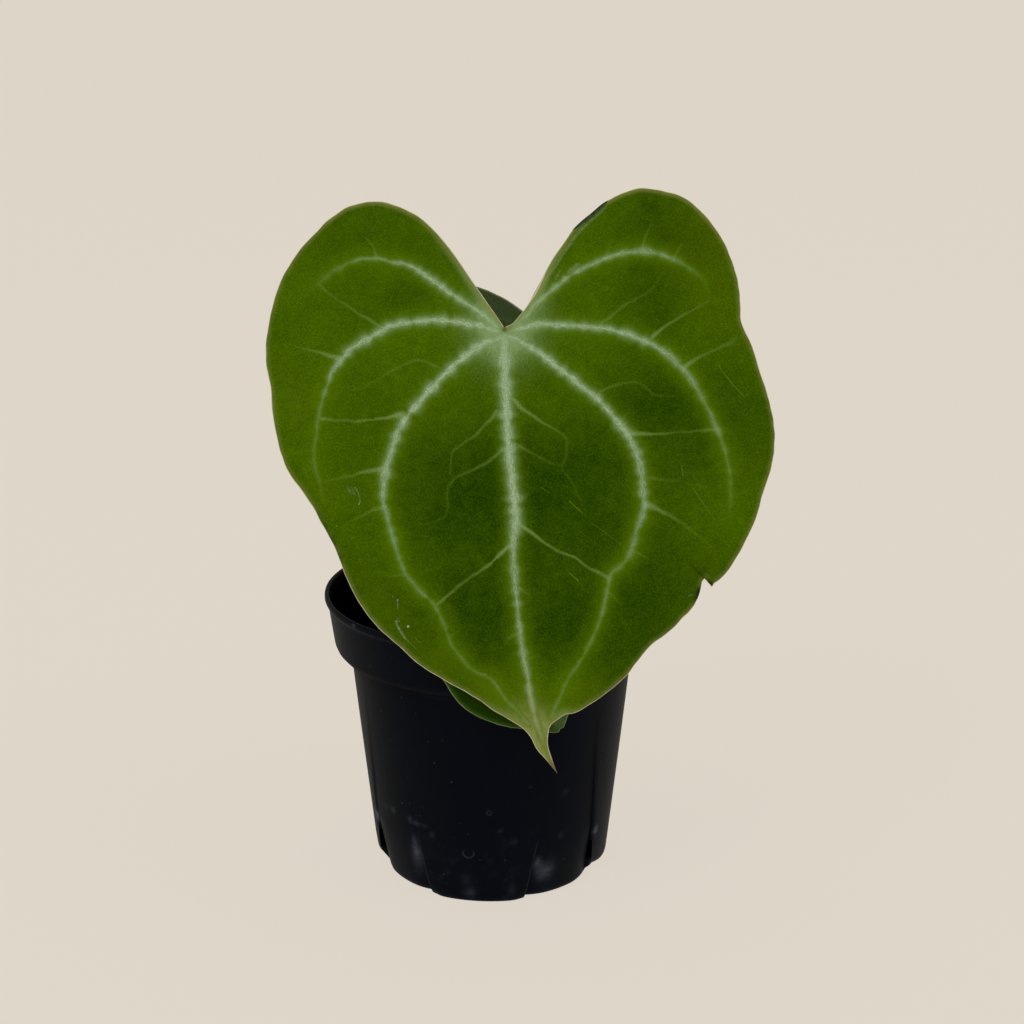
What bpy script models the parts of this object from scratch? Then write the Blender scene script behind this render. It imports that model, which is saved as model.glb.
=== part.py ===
# Potted anthurium clarinervium hybrid: one large leaf facing the front, one turned to the back
# and a small one hanging over the rim of a round black nursery pot.
# Sizes are in millimetres and become metres where an object is made. +Z is up, the front is -Y,
# and the origin is the middle of the pot's underside.

import math
import random

import bmesh
import bpy
import numpy as np
from mathutils import Matrix, Vector

MM = 0.001
GAP = 0.3                      # clearance between pieces that touch

# The pot
POT_HEIGHT = 90.5
LIP_RADIUS = 53.0
LIP_BEAD_HEIGHT = 2.4
COLLAR_TOP_RADIUS = 52.0
COLLAR_FOOT_RADIUS = 50.1
COLLAR_FOOT_HEIGHT = 75.0
BODY_TOP_HEIGHT = 70.0
BODY_TOP_RADIUS = 44.8
BASE_RADIUS = 37.3
BODY_SLOPE = (BODY_TOP_RADIUS - BASE_RADIUS) / BODY_TOP_HEIGHT
POT_WALL = 1.3
POT_FLOOR = 1.6
POT_SIDES = 64

# The four recesses round the pot's foot and the drain slots at their ends
RECESS_FIRST_ANGLE = 38.0      # degrees from the front towards +X
RECESS_COUNT = 4
RECESS_HALF_WIDTH = 14.2
RECESS_FOOT_RADIUS = 32.8
RECESS_HEIGHT = 19.0
CUT_OVERSHOOT = 4.0            # how far a cutter reaches past what it cuts
SLOT_WIDTH = 2.8
SLOT_DEPTH = 8.0
SLOT_HEIGHT = 9.0
SLOT_BITE = 0.45               # how far a slot runs into the step beside its recess

# The potting mix and its bark chips
MIX_TOP = 66.0
MIX_DOME = 2.0
CHIP_COUNT = 36
CHIP_LENGTH = (9.0, 15.0)
CHIP_FIELD_RADIUS = 42.0
CHIP_SEED = 4
GOLDEN_ANGLE = math.pi * (3.0 - math.sqrt(5.0))

# The crown of the plant
STEM_RADIUS = 7.0
STEM_FOOT = 34.0
STEM_TOP = 84.0
STEM_SIDES = 28
SHEATH_THICKNESS = 0.7
SHEATH_COUNT = 3
SHEATH_HEIGHT = 21.0
SHEATH_FOOT = 72.5
SHEATH_HALF_ANGLE = 42.0       # degrees

# The leaves
BLADE_THICKNESS = 0.7
RIB_THICKNESS = 1.7
RIB_REACH = 3.0                # from a vein's middle to where its rib has faded out
FOLD_DEPTH = 1.8               # how far the two halves rise beside the midrib
FOLD_WIDTH = 30.0
PETIOLE_RADIUS = 1.8
STALK_SIDE = 0.5               # how far beside the midrib a stalk meets its blade

# Half the outline of a plain leaf, as shares of the length from its base to its tip
HALF_HEART = [
    (0.0, 0.0), (0.04, 0.06), (0.10, 0.15), (0.17, 0.235), (0.26, 0.295), (0.36, 0.30), (0.45, 0.25),
    (0.51, 0.15), (0.54, 0.03), (0.53, -0.12), (0.50, -0.28), (0.45, -0.44), (0.38, -0.58),
    (0.29, -0.71), (0.18, -0.84), (0.08, -0.92), (0.03, -0.965), (0.0, -1.0),
]

# Half the main veins of a plain leaf, in the same shares: midrib, inner, middle and upper vein
HALF_HEART_VEINS = [
    [(0.0, -0.04), (0.01, -0.3), (0.02, -0.6), (0.0, -0.96)],
    [(0.02, -0.04), (0.14, -0.12), (0.24, -0.24), (0.27, -0.4), (0.22, -0.58), (0.13, -0.76),
     (0.03, -0.92)],
    [(0.03, 0.0), (0.17, 0.02), (0.32, -0.02), (0.41, -0.14), (0.44, -0.32)],
    [(0.04, 0.03), (0.14, 0.12), (0.26, 0.17), (0.37, 0.15), (0.45, 0.05)],
]

# The outline of the front leaf: x across and v up the blade from its base, clockwise from the notch
FRONT_OUTLINE = [
    (0, 0), (4.5, 4), (9.5, 11), (13.5, 19.5), (18, 26), (25.5, 34.5), (31, 38.5), (39.5, 42), (46, 41.5),
    (53, 40), (58, 36), (62, 31.5), (65.5, 26.5), (68, 20.5), (69.5, 14.5), (70, 8), (71, 1.5), (73.5, -4.5),
    (78, -18), (80.5, -33.5), (79, -41), (76.5, -48.5), (71, -63.5), (66.5, -70.5), (61, -76), (58.5, -75),
    (55, -82.5), (49, -89), (42, -94), (36, -102), (28, -108), (21, -112.5), (17.5, -113), (13.5, -117),
    (12.5, -122), (14, -126.5), (15.5, -130.5), (12, -126), (9.5, -123.5), (7.5, -119.5), (4, -116.5),
    (-8.5, -108.5), (-24.5, -98.5), (-37.5, -87), (-43, -80), (-46.5, -72.5), (-49.5, -65), (-56.5, -52.5),
    (-63.5, -42), (-67.5, -29.5), (-70.5, -10.5), (-70.5, -4.5), (-68.5, 8), (-64, 19), (-57, 28.5),
    (-47.5, 36.5), (-41.5, 38), (-35, 37.5), (-26, 33.5), (-15, 22), (-4.5, 7),
]
FRONT_CORNERS = {0, 36}

# The outline of the small leaf, whose tip is blunt and whose left half is the wider one
LOW_OUTLINE = [
    (0, 0), (4, 6.5), (9.5, 12), (15.5, 11.5), (20, 6), (22, -5), (21.5, -17), (19, -29), (15, -40), (10, -49),
    (5.5, -56), (2.5, -60.5), (-0.5, -62), (-2.5, -60.3), (-9, -55), (-14.5, -50.5), (-22.5, -41), (-25.5, -31),
    (-27.5, -19), (-28, -6), (-26.5, 5), (-22, 13), (-15, 15), (-8, 11), (-3, 4.5),
]

# The seven main veins of the front leaf, from its base outwards
FRONT_VEINS = [
    [(0, -6.5), (0.5, -21), (2.5, -50.5), (3, -74), (6, -97), (11, -116.5)],
    [(-2, -5), (-18.5, -15.5), (-29.5, -26), (-35.5, -43), (-33, -58.5), (-25, -76.5), (-12.5, -96.5),
     (5, -113.5)],
    [(-2.5, 0), (-23.5, 2.5), (-36, 0), (-49, -9), (-54.5, -21.5), (-56, -38.5), (-53, -50.5)],
    [(-6, 4), (-19.5, 13), (-37.5, 21), (-51, 16.5), (-63.5, 5.5)],
    [(3, -2.5), (16, -11.5), (31.5, -25), (41, -46.5), (37.5, -64), (28.5, -84), (19, -102), (13.5, -113.5)],
    [(4, 0), (19.5, 0.5), (37, -2), (53.5, -12.5), (62.5, -29), (66.5, -46), (66.5, -57.5)],
    [(6.5, 3), (19.5, 15.5), (36, 22.5), (50, 21), (60.5, 8.5)],
]


class LeafPlace:
    """Where a blade sits and how it bends.

    The blade's coordinates, x across and v up from its base, are turned by roll in its own plane. The
    plane then leans back from upright, faces heading (0 is the front, 90 is +X), and bends backwards
    both ways with two radii.
    """

    def __init__(self, base, heading, lean, roll, length_bend, width_bend, wave):
        turn = math.radians(heading)
        tip = math.radians(lean)
        self.base = Vector(base)
        self.roll = math.radians(roll)
        self.across = Vector((math.cos(turn), math.sin(turn), 0.0))
        self.rise = Vector((-math.sin(turn) * math.sin(tip), math.cos(turn) * math.sin(tip), math.cos(tip)))
        self.normal = self.across.cross(self.rise)
        self.length_bend = length_bend
        self.width_bend = width_bend
        self.wave = wave

    def point(self, x, v, edge=0.0, angle=0.0):
        """The world point of a spot on the blade; edge is 0 in the middle and 1 at the margin."""
        side = x * math.cos(self.roll) - v * math.sin(self.roll)
        up = x * math.sin(self.roll) + v * math.cos(self.roll)
        along = up / self.length_bend
        over = side / self.width_bend
        lift = FOLD_DEPTH * (1.0 - math.exp(-abs(x) / FOLD_WIDTH))
        lift -= self.width_bend * (1.0 - math.cos(over))
        lift += self.wave * edge ** 3 * math.sin(9.0 * angle + 0.7)
        lift += 0.5 * self.wave * edge ** 2 * math.sin(4.0 * angle + 2.0)
        place = self.base + self.across * (self.width_bend * math.sin(over))
        place += self.rise * ((self.length_bend + lift) * math.sin(along))
        place += self.normal * ((self.length_bend + lift) * math.cos(along) - self.length_bend)
        return place

    def facing(self, x, v):
        """The direction that the blade's upper side faces at a spot."""
        step = 0.2
        along_x = self.point(x + step, v) - self.point(x - step, v)
        along_v = self.point(x, v + step) - self.point(x, v - step)
        return along_x.cross(along_v).normalized()


FRONT_LEAF = LeafPlace((4.3, -31.7, 183.8), 0.0, 22.0, 0.0, 700.0, 400.0, 1.0)
BACK_LEAF = LeafPlace((24.0, 24.0, 165.5), 163.0, 38.0, 0.0, 260.0, 160.0, 1.2)
LOW_LEAF = LeafPlace((-1.2, -34.1, 109.9), 2.4, 77.0, 19.6, 32.0, 104.0, 0.5)
FRONT_SWEEP = (15.5, 130.5)    # how far the tip swings aside, and the length over which it does
BACK_LEAF_LENGTH = 98.0
LOW_LEAF_LENGTH = 58.0


def clear_scene():
    for old in list(bpy.data.objects):
        bpy.data.objects.remove(old, do_unlink=True)


def new_collection(name):
    group = bpy.data.collections.new(name)
    bpy.context.scene.collection.children.link(group)
    return group


def principled(name, colour, roughness):
    material = bpy.data.materials.new(name)
    material.use_nodes = True
    shader = material.node_tree.nodes["Principled BSDF"]
    shader.inputs["Base Color"].default_value = (*colour, 1.0)
    shader.inputs["Roughness"].default_value = roughness
    shader.inputs["Metallic"].default_value = 0.0
    return material


def object_from_bmesh(name, bm, collection, material=None):
    """Scale a shape drawn in millimetres to metres and put it in the scene."""
    bmesh.ops.scale(bm, vec=(MM, MM, MM), verts=bm.verts)
    mesh = bpy.data.meshes.new(name)
    bm.to_mesh(mesh)
    bm.free()
    obj = bpy.data.objects.new(name, mesh)
    collection.objects.link(obj)
    if material:
        mesh.materials.append(material)
    return obj


def as_cutter(obj):
    obj.hide_render = True
    obj.display_type = "WIRE"
    return obj


def turned(name, profile, sides, collection, material=None):
    """A round solid from a profile of radius and height, listed down its outer side from the axis."""
    bm = bmesh.new()
    corners = [bm.verts.new((radius, 0.0, height)) for radius, height in profile]
    for first, second in zip(corners, corners[1:]):
        bm.edges.new((first, second))
    obj = object_from_bmesh(name, bm, collection, material)
    screw = obj.modifiers.new("Turn", "SCREW")
    screw.steps = sides
    screw.render_steps = sides
    screw.use_merge_vertices = True
    screw.merge_threshold = 0.00001
    screw.use_smooth_shade = False
    return obj


def cut(obj, cutter, name):
    boolean = obj.modifiers.new(name, "BOOLEAN")
    boolean.operation = "DIFFERENCE"
    boolean.solver = "EXACT"
    boolean.object = cutter


def apply_modifiers(obj):
    """Replace an object's mesh by the one that its modifiers give."""
    graph = bpy.context.evaluated_depsgraph_get()
    mesh = bpy.data.meshes.new_from_object(obj.evaluated_get(graph))
    obj.modifiers.clear()
    obj.data = mesh


def pot_profile(inset, top, floor):
    """The pot's side from top to bottom, moved in by a wall; inset 0 is the outside."""
    bead_foot = POT_HEIGHT - LIP_BEAD_HEIGHT
    lip = LIP_RADIUS if inset == 0 else COLLAR_TOP_RADIUS + 0.6
    step_lift = inset * 0.6
    side = [
        (lip - inset - 0.5, top),
        (lip - inset, min(top, POT_HEIGHT) - 0.6),
        (lip - inset, bead_foot + 0.5),
        (COLLAR_TOP_RADIUS - inset, bead_foot),
        (COLLAR_FOOT_RADIUS - inset, COLLAR_FOOT_HEIGHT + step_lift),
        (COLLAR_FOOT_RADIUS - 0.8 - inset, COLLAR_FOOT_HEIGHT - 2.0 + step_lift),
        (COLLAR_FOOT_RADIUS - 2.4 - inset, COLLAR_FOOT_HEIGHT - 3.3 + step_lift),
        (BODY_TOP_RADIUS + 0.5 - inset, BODY_TOP_HEIGHT + 0.8 + step_lift),
        (BODY_TOP_RADIUS - inset, BODY_TOP_HEIGHT - 1.0 + step_lift),
        (BASE_RADIUS - inset, max(floor, 1.2)),
        (BASE_RADIUS - 1.2 - inset, floor),
    ]
    return [(0.0, top)] + side + [(0.0, floor)]


def recess_turn(number):
    """The turn from +X to the middle of a recess."""
    angle = math.radians(RECESS_FIRST_ANGLE + number * 360.0 / RECESS_COUNT)
    return Matrix.Rotation(angle - math.pi / 2, 3, "Z")


def recess_cutters(inset, collection):
    """Wedges that take the four recesses out of the foot, as one cutter."""
    bm = bmesh.new()
    foot = RECESS_FOOT_RADIUS - inset
    head_height = RECESS_HEIGHT + inset
    head = BASE_RADIUS - inset + BODY_SLOPE * head_height
    low = -CUT_OVERSHOOT
    low_radius = foot + (head - foot) / head_height * low
    for number in range(RECESS_COUNT):
        made = bmesh.ops.create_cube(bm, size=1.0)["verts"]
        for vert in made:
            outside = vert.co.x > 0
            upper = vert.co.z > 0
            near = head if upper else low_radius
            vert.co.x = LIP_RADIUS + CUT_OVERSHOOT if outside else near
            vert.co.y = math.copysign(RECESS_HALF_WIDTH + inset, vert.co.y)
            vert.co.z = head_height if upper else low
        bmesh.ops.rotate(bm, cent=(0, 0, 0), matrix=recess_turn(number), verts=made)
    return as_cutter(object_from_bmesh(f"recesses_{round(inset * 10)}", bm, collection))


def slot_cutters(collection):
    """Upright bars that open a drain slot at both ends of every recess."""
    bm = bmesh.new()
    offset = RECESS_HALF_WIDTH + SLOT_BITE - SLOT_WIDTH / 2
    for number in range(RECESS_COUNT):
        for side in (-1, 1):
            made = bmesh.ops.create_cube(bm, size=1.0)["verts"]
            bmesh.ops.scale(bm, vec=(SLOT_DEPTH, SLOT_WIDTH, SLOT_HEIGHT + CUT_OVERSHOOT), verts=made)
            centre = (RECESS_FOOT_RADIUS, side * offset, (SLOT_HEIGHT - CUT_OVERSHOOT) / 2)
            bmesh.ops.translate(bm, vec=centre, verts=made)
            bmesh.ops.rotate(bm, cent=(0, 0, 0), matrix=recess_turn(number), verts=made)
    return as_cutter(object_from_bmesh("drain_slots", bm, collection))


def make_pot(parts, cutters):
    plastic = principled("black_plastic", (0.012, 0.013, 0.016), 0.38)
    pot = turned("pot", pot_profile(0.0, POT_HEIGHT, 0.0), POT_SIDES, parts, plastic)
    cut(pot, recess_cutters(0.0, cutters), "Recesses")
    inside = pot_profile(POT_WALL, POT_HEIGHT + CUT_OVERSHOOT, POT_FLOOR)
    hollow = as_cutter(turned("hollow", inside, POT_SIDES, cutters))
    cut(hollow, recess_cutters(POT_WALL, cutters), "Recesses")
    cut(pot, hollow, "Hollow")
    cut(pot, slot_cutters(cutters), "Drain slots")
    return pot


def mix_height(radius):
    """The mix's slightly domed surface before the chips lie on it."""
    return MIX_TOP + MIX_DOME * math.cos(min(radius / BODY_TOP_RADIUS, 1.0) * math.pi / 2)


def bark_chip(rng, number, collection):
    """A broken flake of bark: a squashed ball of few faces, pushed out of true, half sunk in the mix."""
    reach = CHIP_FIELD_RADIUS * math.sqrt(rng.uniform(0.07, 0.8))
    angle = number * GOLDEN_ANGLE
    length = rng.uniform(*CHIP_LENGTH)
    bm = bmesh.new()
    bmesh.ops.create_icosphere(bm, subdivisions=1, radius=0.5)
    for vert in bm.verts:
        vert.co *= rng.uniform(0.85, 1.1)
    bmesh.ops.scale(bm, vec=(length, length * rng.uniform(0.5, 0.75), length * 0.45), verts=bm.verts)
    spin = Matrix.Rotation(rng.uniform(0, math.tau), 3, "Z")
    lean = Matrix.Rotation(rng.uniform(-0.35, 0.35), 3, "X")
    bmesh.ops.rotate(bm, cent=(0, 0, 0), matrix=spin @ lean, verts=bm.verts)
    spot = (reach * math.cos(angle), reach * math.sin(angle), mix_height(reach) + length * 0.08)
    bmesh.ops.translate(bm, vec=spot, verts=bm.verts)
    return object_from_bmesh(f"chip_{number}", bm, collection)


def make_mix(parts, cutters):
    soil = principled("bark_mix", (0.035, 0.022, 0.014), 0.95)
    wall = POT_WALL + GAP
    side = [spot for spot in pot_profile(wall, POT_HEIGHT, POT_FLOOR + GAP) if spot[1] < MIX_TOP]
    top_radius = BODY_TOP_RADIUS - wall - (BODY_TOP_HEIGHT - MIX_TOP) * BODY_SLOPE
    dome = [(top_radius * share, mix_height(top_radius * share)) for share in (0.0, 0.25, 0.5, 0.75, 1.0)]
    mix = turned("potting_mix", dome + side, POT_SIDES, parts, soil)
    cut(mix, recess_cutters(wall, cutters), "Recesses")
    apply_modifiers(mix)

    rng = random.Random(CHIP_SEED)
    heap = new_collection("loose_chips")
    chips = [bark_chip(rng, number, heap) for number in range(CHIP_COUNT)]
    union = mix.modifiers.new("Chips", "BOOLEAN")
    union.operation = "UNION"
    union.solver = "EXACT"
    union.operand_type = "COLLECTION"
    union.collection = heap
    apply_modifiers(mix)
    for chip in chips:
        bpy.data.objects.remove(chip, do_unlink=True)
    bpy.data.collections.remove(heap)

    hole = [(0.0, POT_HEIGHT), (STEM_RADIUS + GAP, POT_HEIGHT), (STEM_RADIUS + GAP, STEM_FOOT - GAP)]
    socket = as_cutter(turned("stem_hole", hole + [(0.0, STEM_FOOT - GAP)], STEM_SIDES, cutters))
    cut(mix, socket, "Stem hole")
    return mix


def make_stem(parts):
    bark = principled("crown_green", (0.10, 0.12, 0.035), 0.6)
    scar_heights = [70.0, 74.5, 78.5]
    profile = [(0.0, STEM_TOP), (STEM_RADIUS - 0.8, STEM_TOP), (STEM_RADIUS - 0.2, STEM_TOP - 0.8)]
    for height in reversed(scar_heights):
        profile += [(STEM_RADIUS - 0.6, height + 1.6), (STEM_RADIUS, height)]
        profile += [(STEM_RADIUS - 0.5, height - 0.9)]
    profile += [(STEM_RADIUS - 0.2, MIX_TOP), (STEM_RADIUS - 1.5, STEM_FOOT), (0.0, STEM_FOOT)]
    return turned("stem", profile, STEM_SIDES, parts, bark)


def make_sheaths(parts):
    """Dry pointed scales that stand round the crown, each a part of a widening tube."""
    papery = principled("dry_sheath", (0.24, 0.15, 0.075), 0.85)
    columns = 9
    rows = 7
    half_width = math.radians(SHEATH_HALF_ANGLE)
    foot_radius = STEM_RADIUS + GAP + SHEATH_THICKNESS / 2 + 0.25
    for number in range(SHEATH_COUNT):
        middle = math.radians(75.0 + number * 120.0)
        height = SHEATH_HEIGHT * (1.0 - 0.16 * number)
        bm = bmesh.new()
        grid = []
        for row in range(rows):
            share = row / (rows - 1)
            half = half_width * (1.0 - 0.93 * share ** 2.2)
            radius = foot_radius + 3.2 * share ** 2
            line = []
            for column in range(columns):
                angle = middle + half * (2.0 * column / (columns - 1) - 1.0)
                spot = (radius * math.cos(angle), radius * math.sin(angle), SHEATH_FOOT + height * share)
                line.append(bm.verts.new(spot))
            grid.append(line)
        for low, high in zip(grid, grid[1:]):
            for column in range(columns - 1):
                bm.faces.new((low[column], low[column + 1], high[column + 1]))
                bm.faces.new((low[column], high[column + 1], high[column]))
        sheath = object_from_bmesh(f"sheath_{number + 1}", bm, parts, papery)
        solid = sheath.modifiers.new("Thickness", "SOLIDIFY")
        solid.thickness = SHEATH_THICKNESS * MM
        solid.offset = 0.0


def smooth_line(points, spacing, closed, corners=()):
    """Points along smooth cubic stretches through the given ones, which stay sharp at the corners."""
    points = np.array(points, dtype=float)
    count = len(points)
    ahead = np.roll(points, -1, axis=0)
    behind = np.roll(points, 1, axis=0)
    slopes = (ahead - behind) / 2
    if not closed:
        slopes[0] = points[1] - points[0]
        slopes[-1] = points[-1] - points[-2]
    for corner in corners:
        slopes[corner] = 0.0
    line = []
    for index in range(count if closed else count - 1):
        start, end = points[index], points[(index + 1) % count]
        lead, trail = slopes[index], slopes[(index + 1) % count]
        steps = max(1, round(float(np.linalg.norm(end - start)) / spacing))
        for step in range(steps):
            t = step / steps
            line.append(start * (2 * t ** 3 - 3 * t ** 2 + 1) + end * (3 * t ** 2 - 2 * t ** 3)
                        + lead * (t ** 3 - 2 * t ** 2 + t) + trail * (t ** 3 - t ** 2))
    if not closed:
        line.append(points[-1])
    return np.array(line)


def rib_weight(x, v, vein_lines):
    """1 on a main vein and 0 away from it, with a soft side."""
    spot = np.array((x, v))
    nearest = min(float(np.min(np.linalg.norm(line - spot, axis=1))) for line in vein_lines)
    return max(0.0, 1.0 - nearest / RIB_REACH)


def swept(points, sweep, sign):
    """Swing the lower end of flat points aside, by the fourth power of the way down to the tip."""
    reach, length = sweep
    moved = np.array(points, dtype=float)
    moved[:, 0] += sign * reach * (np.minimum(moved[:, 1], 0.0) / length) ** 4
    return moved


def make_blade(name, place, outline, corners, veins, grid_size, parts, material, sweep=(0.0, 1.0)):
    """A thin heart-shaped blade: rings from a middle point out to the outline, thicker along its veins.

    grid_size holds the middle point, the spacing of points round the outline and the number of rings.
    """
    centre, spacing, rings = grid_size
    edge_line = swept(smooth_line(outline, spacing, True, corners), sweep, -1)
    vein_lines = [smooth_line(vein, 0.8, False) for vein in veins]
    middle = np.array(centre)
    around = len(edge_line)
    bm = bmesh.new()
    weights = []

    def add(x, v, edge):
        weights.append(rib_weight(x, v, vein_lines))
        return bm.verts.new(place.point(x, v, edge, math.atan2(x - centre[0], v - centre[1])))

    hub = add(*centre, 0.0)
    grid = []
    for ring in range(1, rings + 1):
        share = ring / rings
        flat = swept(middle + (edge_line - middle) * share, sweep, 1)
        grid.append([add(x, v, share) for x, v in flat])
    for index in range(around):
        after = (index + 1) % around
        bm.faces.new((hub, grid[0][after], grid[0][index]))
        for low, high in zip(grid, grid[1:]):
            bm.faces.new((low[index], low[after], high[after]))
            bm.faces.new((low[index], high[after], high[index]))

    blade = object_from_bmesh(name, bm, parts, material)
    group = blade.vertex_groups.new(name="ribs")
    for index, weight in enumerate(weights):
        group.add([index], weight, "REPLACE")
    solid = blade.modifiers.new("Thickness", "SOLIDIFY")
    solid.thickness = RIB_THICKNESS * MM
    solid.offset = 0.0
    solid.vertex_group = "ribs"
    solid.thickness_vertex_group = BLADE_THICKNESS / RIB_THICKNESS
    return blade


def heart(length):
    """The outline and main veins of a plain leaf of a given length, both halves."""
    right = [(x * length, v * length) for x, v in HALF_HEART]
    left = [(-x, v) for x, v in reversed(right[1:-1])]
    veins = [[(x * length, v * length) for x, v in vein] for vein in HALF_HEART_VEINS]
    mirrored = [[(-x, v) for x, v in vein] for vein in veins[1:]]
    return right + left, {0, len(right) - 1}, veins + mirrored


def make_petiole(name, route, end_radius, parts, material):
    """A leaf stalk: a round tube along a smooth route, thicker at its foot and in its last stretch."""
    curve = bpy.data.curves.new(name, "CURVE")
    curve.dimensions = "3D"
    curve.bevel_depth = PETIOLE_RADIUS * MM
    curve.bevel_resolution = 3
    curve.use_fill_caps = True
    curve.materials.append(material)
    line = smooth_line(route, 6.0, False)
    spline = curve.splines.new("POLY")
    spline.points.add(len(line) - 1)
    last = len(line) - 1
    for index, spot in enumerate(line):
        spline.points[index].co = (*(float(value) * MM for value in spot), 1.0)
        foot = 0.25 * max(0.0, 1.0 - index / 3.0)
        knee = end_radius * math.exp(-((last - index) / 2.2) ** 2)
        spline.points[index].radius = 1.0 + foot + knee
    stalk = bpy.data.objects.new(name, curve)
    parts.objects.link(stalk)
    return stalk


def stalk_route(start, bends, place, v):
    """From the crown through the bends to the back of the blade, which it meets square on."""
    facing = place.facing(STALK_SIDE, v)
    end = place.point(STALK_SIDE, v) - facing * (RIB_THICKNESS / 2 + GAP + 0.1)
    rounding = end - facing * 6.5 - Vector((0.0, 0.0, 2.5))
    return [start] + bends + [tuple(rounding), tuple(end - facing * 2.5), tuple(end)]


def make_leaves(parts):
    green = principled("leaf_green", (0.045, 0.105, 0.008), 0.5)
    under = principled("leaf_green_back", (0.05, 0.09, 0.03), 0.55)
    young = principled("leaf_green_low", (0.03, 0.08, 0.01), 0.5)
    stalk_green = principled("petiole_green", (0.13, 0.19, 0.05), 0.45)
    foot = STEM_TOP + GAP

    make_blade("leaf_front_blade", FRONT_LEAF, FRONT_OUTLINE, FRONT_CORNERS, FRONT_VEINS,
               ((0.5, -5.0), 5.2, 13), parts, green, FRONT_SWEEP)
    front_bends = [(1.0, -3.8, 90.0), (1.8, -5.5, 110.0), (2.8, -8.5, 135.0), (4.2, -14.5, 163.0)]
    front_route = stalk_route((1.0, -3.6, foot), front_bends, FRONT_LEAF, -3.5)
    make_petiole("leaf_front_petiole", front_route, 0.22, parts, stalk_green)

    outline, corners, veins = heart(BACK_LEAF_LENGTH)
    make_blade("leaf_back_blade", BACK_LEAF, outline, corners, veins, ((0.0, -4.0), 5.8, 8), parts, under)
    back_bends = [(3.3, 2.1, 90.0), (4.6, 3.2, 103.0), (9.0, 6.0, 125.0), (17.5, 9.5, 148.0)]
    back_route = stalk_route((3.2, 2.0, foot), back_bends, BACK_LEAF, -3.5)
    make_petiole("leaf_back_petiole", back_route, 0.2, parts, stalk_green)

    veins = heart(LOW_LEAF_LENGTH)[2]
    make_blade("leaf_low_blade", LOW_LEAF, LOW_OUTLINE, {0}, veins, ((0.0, -3.0), 4.8, 7), parts, young)
    low_bends = [(-3.4, 1.2, 88.5), (-3.6, -1.8, 93.8), (-3.2, -11.0, 98.5), (-2.2, -22.0, 101.5)]
    low_route = stalk_route((-3.4, 1.2, foot), low_bends, LOW_LEAF, -3.2)
    make_petiole("leaf_low_petiole", low_route, 0.1, parts, stalk_green)


def main():
    clear_scene()
    parts = new_collection("potted_anthurium")
    cutters = new_collection("cutters")
    make_pot(parts, cutters)
    make_mix(parts, cutters)
    make_stem(parts)
    make_sheaths(parts)
    make_leaves(parts)


main()
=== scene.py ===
# The looks of a potted anthurium clarinervium hybrid, dressed over its solids.
# Sizes are in millimetres and become metres where a mesh is made. +Z is up and the front is -Y.

import math

import bpy
import numpy as np
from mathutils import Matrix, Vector


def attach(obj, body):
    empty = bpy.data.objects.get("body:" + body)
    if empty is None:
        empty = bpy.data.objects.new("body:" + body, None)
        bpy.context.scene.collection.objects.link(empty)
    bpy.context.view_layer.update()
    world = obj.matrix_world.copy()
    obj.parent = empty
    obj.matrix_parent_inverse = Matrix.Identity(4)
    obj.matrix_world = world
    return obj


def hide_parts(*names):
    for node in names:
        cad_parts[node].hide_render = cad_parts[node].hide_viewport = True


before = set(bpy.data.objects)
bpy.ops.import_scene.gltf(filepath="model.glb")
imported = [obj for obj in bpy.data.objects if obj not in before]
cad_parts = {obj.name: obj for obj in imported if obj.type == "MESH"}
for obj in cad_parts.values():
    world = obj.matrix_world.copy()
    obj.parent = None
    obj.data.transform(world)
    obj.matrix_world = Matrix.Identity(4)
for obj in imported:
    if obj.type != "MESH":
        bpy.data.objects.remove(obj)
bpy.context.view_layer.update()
mm = 0.001
print("stage 1: frame loaded")


# A colour given in steps of 0 to 255, as light: the share raised to the power 2.4 after a small offset.
def tint(red, green, blue):
    shares = [value / 255.0 for value in (red, green, blue)]
    return tuple(s / 12.92 if s <= 0.04045 else ((s + 0.055) / 1.055) ** 2.4 for s in shares) + (1.0,)


# One output of a node. Arithmetic on it adds Math nodes, so 1 - mask can be written as it is said.
class Wire:
    def __init__(self, recipe, socket):
        self.recipe = recipe
        self.socket = socket

    def math(self, operation, *numbers):
        return self.recipe.node("ShaderNodeMath", {"operation": operation}, dict(enumerate(numbers)))

    def __add__(self, other):
        return self.math("ADD", self, other)

    def __sub__(self, other):
        return self.math("SUBTRACT", self, other)

    def __rsub__(self, other):
        return self.math("SUBTRACT", other, self)

    def __mul__(self, other):
        return self.math("MULTIPLY", self, other)

    def __pow__(self, other):
        return self.math("POWER", self, other)

    def __abs__(self):
        return self.math("ABSOLUTE", self)

    __radd__ = __add__
    __rmul__ = __mul__

    def atLeast(self, other):
        return self.math("MAXIMUM", self, other)

    def atMost(self, other):
        return self.math("MINIMUM", self, other)

    def clamped(self):
        return self.atLeast(0.0).atMost(1.0)

    # 0 below low, 1 above high, and 3t^2 - 2t^3 between them
    def rise(self, low, high):
        values = {"Value": self, "From Min": low, "From Max": high, "To Min": 0.0, "To Max": 1.0}
        return self.recipe.node("ShaderNodeMapRange", {"interpolation_type": "SMOOTHSTEP"}, values)

    def fade(self, low, high):      # the other way round: 1 below low and 0 above high
        return 1.0 - self.rise(low, high)


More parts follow.
